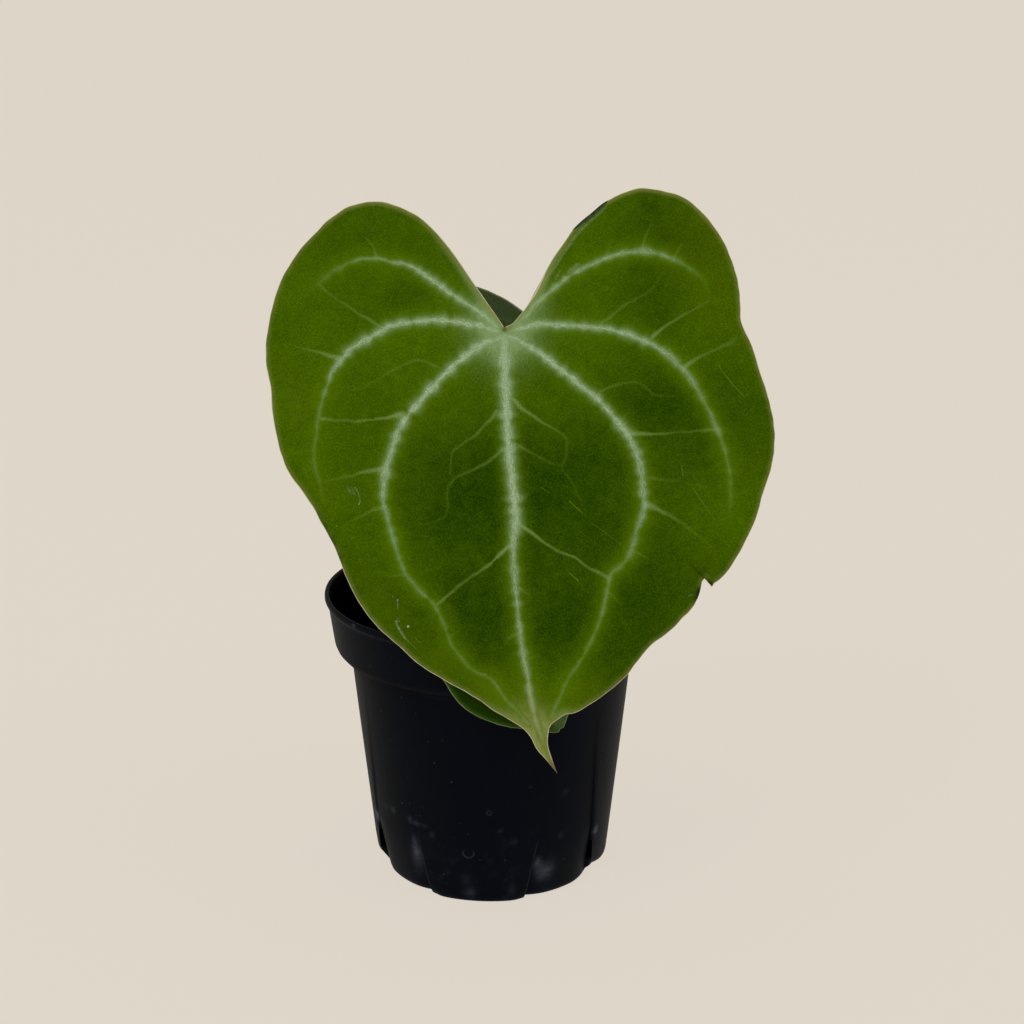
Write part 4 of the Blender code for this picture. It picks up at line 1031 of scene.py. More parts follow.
# The stalks: their radius swells by a share at the foot and at the knee near the blade.
stalks = {
    "radius": 1.8, "sides": 30, "spacing": 0.7, "footSwell": 0.25, "footReach": 14.0, "kneeReach": 11.0,
    "kneeTint": 7.0,
    "meet": 0.5,                # where on the leaf's x it ends
    "knee": 6.5, "neck": 2.5,   # how far these lie behind the blade
    "drop": 2.5,                # and how much lower the knee hangs
    "ridge": 0.012, "ridges": 7, "lump": 0.02, "lumpSize": 9.0, "seed": 8,
    "pale": (150, 162, 92), "green": (84, 108, 34), "dark": (58, 76, 22), "kneeColour": (128, 142, 70),
    "flush": (112, 84, 52),
    # piece, node, leaf, where on the leaf's v it ends, swelling at the knee, path from the crown up
    "routes": [
        ("frontLeafStalk", "leaf_front_petiole", frontLeaf, -3.5, 0.22,
         [(1.0, -3.6, 84.0), (1.0, -3.8, 90.0), (1.8, -5.5, 110.0), (2.8, -8.5, 135.0),
          (4.2, -14.5, 163.0)]),
        ("backLeafStalk", "leaf_back_petiole", backLeaf, -3.5, 0.2,
         [(3.2, 2.0, 84.0), (3.3, 2.1, 90.0), (4.6, 3.2, 103.0), (9.0, 6.0, 125.0), (17.5, 9.5, 148.0)]),
        ("lowLeafStalk", "leaf_low_petiole", lowLeaf, -3.2, 0.1,
         [(-3.4, 1.2, 84.0), (-3.4, 1.2, 88.5), (-3.6, -1.8, 93.8), (-3.2, -11.0, 98.5),
          (-2.2, -22.0, 101.5)]),
    ],
}


# Green with dark strands and pale flecks, paler at the knee and flushed brown at the foot.
def stalkMaterial():
    recipe = Recipe("leaf_stalk")
    place = recipe.place()
    ringX, ringY, along = recipe.attribute("strand")
    knee = recipe.number("knee")
    streak = recipe.noise(recipe.vector(ringX * 0.006, ringY * 0.006, along * 0.00008), 0.9, 3.0, 0.6)
    mottle = recipe.noise(place, 2.2, 3.0, 0.6)
    fine = recipe.swing(place, 0.4, 2.0, 0.6)
    flecks = recipe.cells(place, 1.3).fade(0.14, 0.24)
    colour = recipe.layers(recipe.blend(streak * 1.8 - 0.4, stalks["dark"], stalks["green"]), [
        ((mottle - 0.45) * 1.6, stalks["pale"]),
        (knee * (0.6 + 0.6 * mottle), stalks["kneeColour"]),
        (flecks * 0.5, stalks["pale"]),
        (along.fade(4.0, 22.0) * (0.35 + 0.6 * mottle), stalks["flush"]),
    ])
    height = (streak - 0.5) * 0.10 + fine * 0.03 + flecks * 0.03
    return recipe.finish(colour, 0.42 + (mottle - 0.5) * 0.2, height, 0.3)


# A stalk's path ends a little under the blade, and comes up to it along the blade's own normal.
def stalkRoute(bends, leaf, v):
    spotX, spotV = np.array([stalks["meet"]]), np.array([v])
    facing = bladeFacing(leaf, spotX, spotV)[0]
    end = bladePoint(leaf, spotX, spotV)[0] - facing * leaf["stalkEnd"]
    knee = end - facing * stalks["knee"] - np.array([0.0, 0.0, stalks["drop"]])
    return [*bends, tuple(knee), tuple(end - facing * stalks["neck"]), tuple(end)]


# A stalk's radius is the plain one * (1 + footSwell * (1 - way / footReach) + swell * e^(-(way left /
# kneeReach)^2)), times faint ridges.
def makeStalk(name, node, route, swell, material):
    path = smoothLine(route, stalks["spacing"])
    away = np.concatenate([[0.0], np.cumsum(np.linalg.norm(np.diff(path, axis=0), axis=1))])
    toEnd = away[-1] - away
    angle = ringAngles(stalks["sides"])
    foot = stalks["footSwell"] * falling(away, stalks["footReach"])
    radius = stalks["radius"] * (1.0 + foot + swell * bell(toEnd, stalks["kneeReach"]))
    uneven = stalks["lump"] * lumps(path, stalks["lumpSize"], stalks["seed"])
    ridges = 1.0 + stalks["ridge"] * np.sin(stalks["ridges"] * angle)[None, :] + uneven[:, None]
    points = tube(path, radius[:, None] * ridges, stalks["sides"], (1.0, 0.0, 0.0))
    strand = np.broadcast_arrays(np.cos(angle)[None, :], np.sin(angle)[None, :], away[:, None])
    strand = np.stack(strand, axis=-1)
    strand = np.concatenate([strand[:1], strand, strand[-1:]])
    knee = np.concatenate([[0.0], bell(toEnd, stalks["kneeTint"]), [1.0]])[:, None]
    mesh = gridMesh(name, points, {"strand": strand, "knee": knee})
    dress(name, mesh, material, "petiole", node)


stalkGreen = stalkMaterial()
for stalkName, stalkNode, stalkLeaf, stalkEnd, stalkSwell, bends in stalks["routes"]:
    makeStalk(stalkName, stalkNode, stalkRoute(bends, stalkLeaf, stalkEnd), stalkSwell, stalkGreen)
print("stage 5: stalks made")


# The pot is one closed surface over angle and height, outside and inside. It has four recesses at its foot.
pot = {
    "wall": 1.3, "floor": 1.6,
    "stretch": 1.8,             # how far the lip is raised over the profile below
    "stretchFrom": 40.0, "stretchTo": 90.5,     # heights between which the raising grows
    # radius and height down the outside, from the lip's inner edge
    "outside": [
        (51.9, 90.35), (52.45, 90.5), (52.85, 90.2), (53.0, 89.7), (53.0, 88.9), (52.75, 88.35),
        (52.15, 88.0), (51.95, 87.2), (50.3, 76.0), (50.1, 74.9), (49.6, 73.7), (48.6, 72.6), (47.3, 71.7),
        (46.0, 71.2), (45.3, 70.7), (44.9, 69.8), (44.75, 68.8), (37.45, 2.0), (37.2, 1.0), (36.7, 0.3),
        (36.1, 0.0),
    ],
    "lipInside": [
        (51.6, 90.0), (51.45, 89.2), (51.3, 88.0), (50.55, 87.0), (48.95, 76.5), (48.7, 75.5), (48.1, 74.4),
        (47.1, 73.4), (45.8, 72.6), (44.6, 72.1), (43.9, 71.5), (43.6, 70.5), (43.4, 69.0),
    ],
    # shares of the foot's last ring across and up, and the height added, up the hollow underside to its
    # middle
    "underside": [(0.98, 1.0, 0.0), (0.94, 0.6, 0.4), (0.9, 0.0, 0.9), (0.5, 0.0, 0.9), (0.2, 0.0, 0.9),
                  (0.0, 0.0, 0.9)],
    "recessAngle": 38.0,        # the first one's middle, degrees from the front towards +X
    "halfAngle": 21.3,          # degrees from a recess's middle to its end at the foot
    "middleDepth": 1.9, "middleHeight": 19.0, "endDepth": 3.1, "endHeight": 21.0,
    "slot": (6.2, 14.2),        # heights of the drain slots in the steps at both ends
    "slotSteps": 10,
    "cornerLift": 3.4,          # how far the side feet's corners stand clear of the floor
    "cornerReach": 17.0, "cornerHeight": 10.0,
    "noseDepth": 1.1, "noseReach": 4.0, "noseHeight": 7.0,        # the feet round off towards the recesses
    "sideNose": 0.9, "sideNoseHeight": 4.0,
    "creaseDepth": 0.95, "creaseFoot": (13.0, 18.0), "creaseTop": 56.0, "creaseWidth": 1.15,
    "faintCrease": 0.12,        # share of its depth that is left off the side feet
    # dusty and scuffed spots, and painted sheen patches beside the recesses' arrises and the slots: angle
    # from the front, height, reach across, reach up, strength
    "scuffsAndSheen": [
        (-56.5, 26.6, 1.3, 0.7, 0.25), (-50.8, 26.6, 1.1, 0.9, 0.4), (-39.5, 25.9, 0.9, 0.9, 0.3),
        (-36.0, 25.3, 1.3, 0.6, 0.32), (-31.6, 25.3, 1.3, 0.5, 0.15), (-38.0, 15.0, 1.3, 2.0, 0.55),
        (-38.2, 18.6, 0.9, 1.8, 0.35), (-38.0, 12.0, 2.2, 4.0, 0.3), (22.6, 12.6, 1.1, 1.9, 0.6),
        (26.0, 9.2, 2.3, 2.8, 0.55), (30.0, 9.8, 1.7, 3.0, 0.2), (58.6, 17.3, 1.2, 1.2, 1.2),
        (-71.0, 19.1, 1.5, 1.8, 1.2), (-10.1, 3.4, 1.6, 1.6, 0.25), (10.1, 4.5, 1.1, 2.2, 0.12),
        (-11.9, 8.1, 1.6, 2.0, 0.1), (3.7, 26.6, 0.35, 0.35, 0.9), (-27.7, 22.5, 0.9, 0.9, 0.2),
        (10.5, 22.0, 0.9, 0.9, 0.18), (33.7, 21.5, 1.0, 1.0, 0.15), (34.6, 36.7, 1.0, 1.0, 0.12),
        (-52.0, 91.2, 0.8, 0.5, 0.8),
    ],
}


# How far a recess's end lies from its middle, in degrees: it leans in by 0.25 for each mm up to a height of
# 20, and by 0.133 from there to 50.
def arrisAngle(z):
    lower = 0.25 * np.clip(z, 0.0, 20.0)
    upper = 5.0 + 0.133 * (np.minimum(z, 50.0) - 20.0)
    return pot["halfAngle"] - np.where(z < 20.0, lower, upper)


# The plain outside's radius at a height, read off the profile.
def bodyRadius(z):
    profile = np.array(pot["outside"])[::-1]
    return np.interp(z, profile[:, 1], profile[:, 0])


# A column's quarter, its angle from the middle of that quarter's recess, and whether it stands on a side
# foot.
def potQuarter(column):
    quarter = np.round(column / 90.0)
    local = column - quarter * 90.0
    return quarter, local, (local > 0) == (quarter % 2 == 0)


# A spot on the pot: the column's angle is squeezed so that its end columns follow the arris, the radius is
# the body's, less the recess. A recess fades upwards as (1 - height share)^1.5 in the middle and evenly at
# its ends, where it is deepest and stops in a step. Two of the four feet, at the sides, have lifted and
# rounded corners. A crease runs up from each step. inset moves the surface in by a wall.
def potSurface(column, z, radius, inset):
    column, z, radius = np.broadcast_arrays(column, z, radius)
    quarter, local, isSide = potQuarter(column)
    half = pot["halfAngle"]
    arris = arrisAngle(z) + np.where(z < 30, 1.0, 0.5) * np.degrees(inset / 37.0)
    inside = np.abs(local) <= half + 0.05
    beside = arris + (np.abs(local) - half) * (45.0 - arris) / (45.0 - half)
    squeezed = np.where(inside, local * arris / half, np.sign(local) * beside)
    weight = np.clip((np.abs(local) / half - 0.3) / 0.7, 0.0, 1.0) ** 2
    rise = np.maximum(z - inset * 0.6, 0.0)
    middle = pot["middleDepth"] * falling(rise, pot["middleHeight"]) ** 1.5
    ends = pot["endDepth"] * falling(rise, pot["endHeight"])
    beyond = np.clip(np.abs(local) - half, 0.0, None)
    nose = pot["noseDepth"] * bell(beyond, pot["noseReach"]) * falling(z, pot["noseHeight"]) ** 2
    nose = nose + np.where(isSide, pot["sideNose"], 0.0) * falling(z, pot["sideNoseHeight"]) ** 2
    depth = np.where(inside, middle * (1.0 - weight) + ends * weight, nose)
    crease = pot["creaseDepth"] * smoothStep(z, *pot["creaseFoot"]) * falling(z, pot["creaseTop"]) ** 1.4
    crease = crease * bell(np.abs(local) - half, pot["creaseWidth"])
    depth = depth + crease * np.where(isSide, 1.0, pot["faintCrease"])
    lift = pot["cornerLift"] * np.where(isSide & ~inside, bell(beyond, pot["cornerReach"]), 0.0)
    height = z + lift * falling(z, pot["cornerHeight"])
    height = height + pot["stretch"] * smoothStep(z, pot["stretchFrom"], pot["stretchTo"])
    away = radius - depth - inset
    turn = np.radians(squeezed + quarter * 90.0 + pot["recessAngle"])
    return np.stack([away * np.sin(turn), -away * np.cos(turn), height], axis=-1)


# Columns lie closer at the arrises: each quarter has its recess in the middle and the plain wall on both
# sides.
def potColumns():
    half = pot["halfAngle"]
    wall = np.concatenate([np.arange(-45.0, -29.0, 1.5), [-28.8, -27.6, -26.5, -25.5, -24.6, -23.8, -23.2],
                           [-22.7, -22.3, -21.9]])
    step = np.array([-0.25, 0.0, 0.35, 0.8, 1.3, 2.0]) - half
    middle = np.linspace(-half + 2.9, half - 2.9, 33)
    quarter = np.concatenate([wall, step, middle, -step[::-1], -wall[::-1][:-1]])
    beside = len(wall)              # the column on the wall beside a recess
    return np.concatenate([quarter + 90.0 * number for number in range(4)]), len(quarter), beside


def densified(profile, spacing):       # the profile's corners and evenly spaced points between them
    stretches = []
    for start, end in zip(profile, profile[1:]):
        steps = max(1, math.ceil(math.dist(start, end) / spacing))
        stretches.append(np.linspace(start, end, steps, endpoint=False))
    return np.concatenate(stretches + [np.array(profile[-1:])])


# Rows of the pot run from the middle of its floor up the inside, over the lip, down the outside and under
# the foot to the middle again. Its scuffs and painted light are: the sum of strength * e^-((arc / reach)^2 +
# (up / reach)^2) over the scuffed spots and painted sheen patches, how far a spot lies in painted shade (in
# a crease, under the collar or inside the pot), and a painted highlight along the front arrises.
def makePot(material):
    columns, perQuarter, beside = potColumns()
    low, high = pot["slot"]
    steps = np.arange(pot["slotSteps"] + 1)
    above = np.linspace(22.0, high, 9)[:-1]         # heights of rows over, beside and under the slots
    below = np.linspace(low, 2.0, 5)[1:]
    footHeights = np.concatenate([above, np.linspace(high, low, len(steps)), below])
    seam = 23.0                     # the height at which the foot's rows take over
    seamRadius = float(bodyRadius(seam))
    outside = [spot for spot in pot["outside"] if spot[1] > seam]
    outside = densified(outside + [(seamRadius, seam)], 1.1)
    foot = np.stack([bodyRadius(footHeights), footHeights], axis=1)
    edge = np.array([spot for spot in pot["outside"] if spot[1] < 2.0])
    inner = densified(pot["lipInside"] + [(seamRadius - pot["wall"], seam)], 3.0)

    floorRing = potSurface(columns, pot["floor"], bodyRadius(pot["floor"]), pot["wall"])
    rows = [floorRing * (share, share, 0.0) + (0.0, 0.0, pot["floor"]) for share in (0.0, 0.5, 0.97)]
    firstInner = len(rows) + len(below)                             # the inner row at the slot's foot
    rows += [potSurface(columns, height, bodyRadius(height), pot["wall"]) for height in footHeights[::-1]]
    rows += [potSurface(columns, height, radius, 0.0) for radius, height in inner[::-1]]
    firstOutward = len(rows)
    firstOuter = firstOutward + len(outside) + len(above)           # the outer row at the slot's top
    outer = np.concatenate([outside, foot, edge])
    rows += [potSurface(columns, height, radius, 0.0) for radius, height in outer]
    bottom = rows[-1]
    rows += [bottom * (share, share, keep) + (0.0, 0.0, height) for share, keep, height in pot["underside"]]
    points = np.stack(rows)

    # the drain slots: a strip between two columns is left out inside and outside, and its rims are joined
    innerRows = firstInner + steps
    outerRows = firstOuter + steps[::-1]
    holes = np.zeros((points.shape[0] - 1, points.shape[1]), dtype=bool)
    bridges = []
    for number in range(4):
        for column in (beside + number * perQuarter, perQuarter - beside + number * perQuarter - 1):
            holes[innerRows[:-1], column] = True
            holes[outerRows[1:], column] = True
            after = (column + 1) % points.shape[1]
            ring = [(step, column) for step in steps] + [(step, after) for step in steps[::-1]]
            for first, second in zip(ring, ring[1:] + ring[:1]):
                bridges.append([(innerRows[first[0]], first[1]), (innerRows[second[0]], second[1]),
                                (outerRows[second[0]], second[1]), (outerRows[first[0]], first[1])])
    bridges = np.array(bridges)
    bridges[..., 1] = points.shape[1] - 1 - bridges[..., 1]         # the columns are turned round below

    # scuffs and painted sheen outside, painted shade in the hollows and all over the inside, and painted
    # highlights on the front arrises
    z = points[..., 2]
    angle = np.degrees(np.arctan2(points[..., 0], -points[..., 1]))
    outward = (np.arange(len(points)) >= firstOutward)[:, None]
    scuffAndSheen = np.zeros(angle.shape)
    for middle, height, acrossReach, upReach, strength in pot["scuffsAndSheen"]:
        arc = np.radians(angle - middle) * np.hypot(points[..., 0], points[..., 1])
        scuffAndSheen += strength * bell(arc, acrossReach) * bell(z - height, upReach) * outward
    local, isSide = potQuarter(columns)[1:]
    beyond = np.abs(local) - pot["halfAngle"]
    # painted shade: beside the side feet's steps, in a line under the collar and all over the inside, the
    # plastic is mixed towards an unlit black
    crease = isSide * bell(beyond, np.where(beyond > 0.0, 0.5, 3.2))        # sharp towards the wall
    crease = crease * np.clip(1.1 - np.abs(z - 25.0) / np.where(z > 25.0, 36.0, 14.0), 0.0, 0.85)
    shoulder = 0.68 * bell(z - 73.2, 2.6) * smoothStep(np.abs(angle), 14.0, 40.0)       # under the collar
    inside = 0.97 * (1.0 - smoothStep(z, 88.6, 91.6))
    hollow = np.where(outward, np.maximum(crease, shoulder), inside)
    # painted highlight: a pale line along the front arrises, strongest at the foot
    ridge = ~isSide * bell(beyond + 0.1, 0.4) * np.clip(1.2 - z / 18.0, 0.0, 1.0)       # the front arrises
    ridge = ridge * outward * (np.abs(angle) < 60.0)
    scuffsAndPaintedLight = np.stack([scuffAndSheen, hollow, ridge], axis=-1)
    holes = np.roll(holes[:, ::-1], -1, axis=1)
    mesh = gridMesh("potShell", points[:, ::-1], {"scuffsAndPaintedLight": scuffsAndPaintedLight[:, ::-1]}, True, holes, bridges)
    dress("potShell", mesh, material, "black_plastic", "pot")


# Black plastic: faintly clouded, with a fine skin, pale dust where it was scuffed, painted sheen beside the
# recesses' arrises, a painted highlight along the front arrises, painted shade in hollows, and a small
# moulded crescent and pip on the front, lightened as a painted highlight. Each moulded mark is a ring: its
# strength falls off with | distance - radius |. x, y and z are in metres.
def potMaterial():
    recipe = Recipe("black_nursery_plastic")
    place = recipe.place()
    x, y, z = recipe.parts(place)
    peel = recipe.swing(place, 0.5, 2.0, 0.6)
    cloud = recipe.noise(place, 14.0, 3.0, 0.55)
    fine = recipe.noise(place, 1.3, 4.0, 0.7)
    scuffAndSheenZone, hollow, ridge = recipe.attribute("scuffsAndPaintedLight")

    def ring(middleX, middleZ, radius, width):      # sizes in mm
        acrossX, acrossZ = (x - middleX * mm) * 1000.0, (z - middleZ * mm) * 1000.0
        away = (acrossX * acrossX + acrossZ * acrossZ) ** 0.5 - radius
        return abs(away).fade(width * 0.4, width) * y.fade(-0.03, -0.02)

    # the crescent's lower part and the pip are lightened in the dust colour: a painted highlight over their
    # moulded relief
    crescent = ring(-7.0, 18.0, 1.7, 0.45) * z.fade(0.0175, 0.0195)
    pip = ring(-0.5, 32.7, 0.7, 0.4)
    specks = recipe.cells(place, 4.2).fade(0.05, 0.10) * (fine * 3.0 - 1.35).clamped()
    lowDust = (recipe.noise(place, 5.0, 5.0, 0.7) * 2.2 - 1.15).clamped() * z.fade(0.004, 0.034)
    scuffAndSheen = (scuffAndSheenZone * (fine * 2.0 - 0.2).clamped()).clamped()
    plastic = recipe.blend(cloud * 1.4 - 0.35, potLook["plastic"], potLook["worn"])
    colour = recipe.layers(plastic, [
        (lowDust * 0.30 + crescent * 0.3 + pip * 0.22, potLook["dustAndHighlight"]),
        (specks * 0.8, potLook["speck"]),
        # pale scuffing, and painted sheen beside the arrises
        (scuffAndSheen * 0.8, potLook["scuffAndSheen"]),
        # a painted highlight along the front arrises
        (ridge * (fine * 1.6 - 0.1), potLook["ridge"]),
    ])
    roughness = potLook["roughness"] + (fine - 0.5) * 0.14 + lowDust * 0.15 + specks * 0.3 + scuffAndSheen * 0.25
    height = peel * 0.012 + (fine - 0.5) * 0.02 + crescent * 0.12 + pip * 0.15
    tinted = {"Specular Tint": potLook["glossTint"]}
    return recipe.finish(colour, roughness, height, potLook["gloss"], hollow.clamped(), others=tinted)


potLook = {
    # the dust colour also paints the highlight on the crescent and pip
    "plastic": (3, 6, 14), "worn": (7, 11, 20), "dustAndHighlight": (54, 60, 72), "speck": (76, 80, 90),
    # the scuff colour is pale scuffing with painted sheen, and the ridge colour is a painted highlight on
    # the front arrises
    "scuffAndSheen": (86, 93, 106), "ridge": (84, 90, 100),
    "roughness": 0.5, "gloss": 0.033, "glossTint": (0.82, 0.92, 1.0, 1.0),
}
makePot(potMaterial())
print("stage 6: pot made")


# The potting mix: a lumpy round body that fills the pot to its surface, and broken flakes of bark over it.
mix = {
    "top": 65.4, "dome": 2.0, "domeReach": 44.8, "radius": 42.4, "rings": 46,
    "lumps": [(0.7, 11.0, 5), (0.35, 3.5, 6)],       # height, size, seed
    # heights of the body's lower rings and how far they stand clear of the pot's outside
    "body": ((62.0, 1.8), (50.0, 1.9), (35.0, 2.3), (26.0, 3.5), (21.0, 7.0), (12.0, 8.0), (2.2, 8.0)),
    "flakes": 430, "flakeLength": (2.6, 12.0), "grains": 70, "grainLength": (1.2, 2.8), "seed": 21,
    "nearest": 9.0, "farthest": 41.3, "lean": 0.3, "unevenness": 0.13, "roughness": 0.05,
    "soil": (26, 19, 14), "crumb": (52, 37, 26), "bark": (96, 62, 40), "darkBark": (44, 28, 20),
    "grain": (205, 200, 188),
}


# The mix's surface: a low dome, highest in the middle as a cosine, with two sizes of lumps.
def mixHeight(x, y):
    ground = np.stack([x, y], axis=-1)
    share = np.minimum(np.hypot(x, y) / mix["domeReach"], 1.0)
    lumpy = sum(height * lumps(ground, size, seed) for height, size, seed in mix["lumps"])
    return mix["top"] + mix["dome"] * np.cos(share * math.pi / 2) + lumpy


# Dark crumbs of soil, brown bark by each flake's tone and its fibres, and a few pale grains.
def mixMaterial():
    recipe = Recipe("bark_potting_mix")
    place = recipe.place()
    kind, tone = recipe.attribute("flake")[:2]
    crumbs = recipe.cells(place, 1.6)
    fine = recipe.noise(place, 0.8, 4.0, 0.65)
    fibre = recipe.swing(recipe.place((1.0, 0.3, 1.0)), 1.2, 4.0, 0.7)
    isFlake = kind.rise(0.3, 0.6)
    colour = recipe.layers(recipe.blend(fine * 1.5 - 0.35, mix["soil"], mix["crumb"]), [
        (isFlake, recipe.blend(tone * 0.8 + fibre * 0.9, mix["darkBark"], mix["bark"])),
        (kind.rise(1.3, 1.6), mix["grain"]),
    ])
    height = (fine - 0.5) * 0.5 + crumbs * 0.35 * (1.0 - isFlake) + fibre * 0.4
    return recipe.finish(colour, 0.86 + (fine - 0.5) * 0.2, height, 0.2)


# The body's rings run across its surface and then down, at a gap from the pot's outside. The flakes follow.
def makeMix(material):
    columns = potColumns()[0]
    turn = np.radians(columns + pot["recessAngle"])
    rows = []
    for radius in np.linspace(0.0, 1.0, mix["rings"]) * mix["radius"]:
        x, y = radius * np.sin(turn), -radius * np.cos(turn)
        rows.append(np.stack([x, y, mixHeight(x, y)], axis=-1))
    rows += [potSurface(columns, height, bodyRadius(height), gap) for height, gap in mix["body"]]
    rows.append(rows[-1] * (0.0, 0.0, 1.0))
    points = np.stack(rows)
    ground = gridMesh("pottingMix", points[:, ::-1], {"flake": np.zeros(points.shape)})
    dress("pottingMix", ground, material, "bark_mix", "potting_mix")

    # flakes: a block of 26 corners is stretched, pushed out of true, turned and laid half sunk in the mix
    rng = np.random.default_rng(mix["seed"])
    corners, faces = blockShape()
    count = mix["flakes"] + mix["grains"]
    isGrain = np.arange(count) >= mix["flakes"]
    shortest, longest = mix["flakeLength"]
    length = shortest + (longest - shortest) * rng.random(count) ** 1.9
    length = np.where(isGrain, rng.uniform(*mix["grainLength"], count), length)
    across, thick = rng.uniform(0.45, 0.8, count), rng.uniform(0.22, 0.5, count)
    size = np.stack([length, length * across, length * thick], axis=1)
    size[isGrain] = length[isGrain, None] * rng.uniform(0.8, 1.1, (isGrain.sum(), 3))
    shape = corners[None] * (1.0 + rng.normal(0.0, mix["unevenness"], (count, len(corners), 1)))
    shape = (shape + rng.normal(0.0, mix["roughness"], (count, len(corners), 3))) * size[:, None]
    spin = rng.uniform(0, 2 * math.pi, count)
    leanX, leanY = rng.normal(0, mix["lean"], count), rng.normal(0, mix["lean"], count)
    turned = np.einsum("nij,nkj->nki", rotations(spin, leanX, leanY), shape)
    away = mix["nearest"] + 31.0 * np.sqrt(rng.random(count))
    away = np.minimum(away, mix["farthest"] - length * 0.5)
    bearing = rng.uniform(0, 2 * math.pi, count)
    x, y = away * np.cos(bearing), away * np.sin(bearing)
    z = mixHeight(x, y) + size[:, 2] * rng.uniform(0.0, 0.45, count)
    turned += np.stack([x, y, z], axis=1)[:, None]
    allFaces = (faces[None] + (np.arange(count) * len(corners))[:, None, None]).reshape(-1, 4)
    mesh = bpy.data.meshes.new("barkFlakes")
    mesh.from_pydata((turned.reshape(-1, 3) * mm).tolist(), [], allFaces.tolist())
    look = np.stack([np.where(isGrain, 2.0, 1.0), rng.random(count), np.zeros(count)], axis=1)
    setValues(mesh, "flake", np.repeat(look, len(corners), axis=0))
    mesh.update()
    dress("barkFlakes", mesh, material, "bark_mix")


# A block whose six sides are two squares wide: 26 corners pulled towards a ball by roundness, and 24 faces.
def blockShape():
    spots = [(x, y, z) for x in (-1, 0, 1) for y in (-1, 0, 1) for z in (-1, 0, 1) if (x, y, z) != (0, 0, 0)]
    index = {spot: number for number, spot in enumerate(spots)}
    faces = []
    for axis in range(3):
        for sign in (-1, 1):
            for a in (-1, 0):
                for b in (-1, 0):
                    ring = [(a, b), (a + 1, b), (a + 1, b + 1), (a, b + 1)]
                    face = []
                    for first, second in (ring if sign > 0 else ring[::-1]):
                        spot = [0, 0, 0]
                        spot[axis], spot[(axis + 1) % 3], spot[(axis + 2) % 3] = sign, first, second
                        face.append(index[tuple(spot)])
                    faces.append(face)
    corners = np.array(spots, dtype=float)
    roundness = 0.6
    return (corners * (1.0 - roundness) + unit(corners) * roundness) * 0.5, np.array(faces)


# Turns about Z after small leans about X and Y, one 3 by 3 table for each piece.
def rotations(spin, leanX, leanY):
    zero, one = np.zeros_like(spin), np.ones_like(spin)
    cosZ, sinZ, cosX, sinX, cosY, sinY = (f(a) for a in (spin, leanX, leanY) for f in (np.cos, np.sin))
    turnZ = np.stack([cosZ, -sinZ, zero, sinZ, cosZ, zero, zero, zero, one], axis=1).reshape(-1, 3, 3)
    turnX = np.stack([one, zero, zero, zero, cosX, -sinX, zero, sinX, cosX], axis=1).reshape(-1, 3, 3)
    turnY = np.stack([cosY, zero, sinY, zero, one, zero, -sinY, zero, cosY], axis=1).reshape(-1, 3, 3)
    return turnZ @ turnX @ turnY


makeMix(mixMaterial())
print("stage 7: potting mix made")


# The crown: a short scarred stem, three dry sheaths round it and a few aerial roots that dive into the mix.
crown = {
    "radius": 7.0, "foot": 34.0, "top": 84.0, "sides": 64, "lump": 0.16, "lumpSize": 6.0, "seed": 8,
    "scars": (70.0, 74.5, 78.5), "inset": 0.35, "bulge": 0.35, "scarDepth": 0.4,
    "topInsets": (1.3, 0.7),        # how far the first two rings at the top stand in
    "green": (96, 104, 52), "brown": (84, 62, 38), "scar": (48, 36, 24),
    "rootColour": (150, 136, 98), "rootRadius": 0.85, "rootSides": 16, "rootSpacing": 0.6,
    "roots": [
        [(5.5, -3.0, 72.5), (8.5, -5.0, 72.6), (12.5, -7.0, 69.5), (14.5, -8.0, 65.0)],
        [(-5.0, -4.5, 71.0), (-8.0, -7.5, 71.5), (-11.5, -11.0, 68.5), (-13.0, -12.5, 64.5)],
        [(-2.0, 6.5, 73.5), (-3.0, 10.0, 73.6), (-5.0, 14.0, 70.5), (-5.5, 16.0, 65.5)],
        [(6.5, 2.0, 70.0), (9.5, 4.0, 70.2), (12.5, 6.5, 67.5), (13.5, 7.5, 64.0)],
    ],
}


# Green over brown in streaks that run down it, with dark scars.
def crownMaterial():
    recipe = Recipe("green_brown_crown")
    streak = recipe.swing(recipe.place((1.0, 1.0, 0.25)), 1.5, 4.0, 0.6)
    mottle = recipe.swing(recipe.place(), 3.0, 3.0, 0.6)
    colour = recipe.blend(mottle * 1.8 + 0.4 + streak, crown["brown"], crown["green"])
    colour = recipe.blend(recipe.number("scar") * (0.9 + 0.6 * streak), colour, crown["scar"])
    return recipe.finish(colour, 0.62 + mottle * 0.2, streak * 0.3 + mottle * 0.25, 0.25)


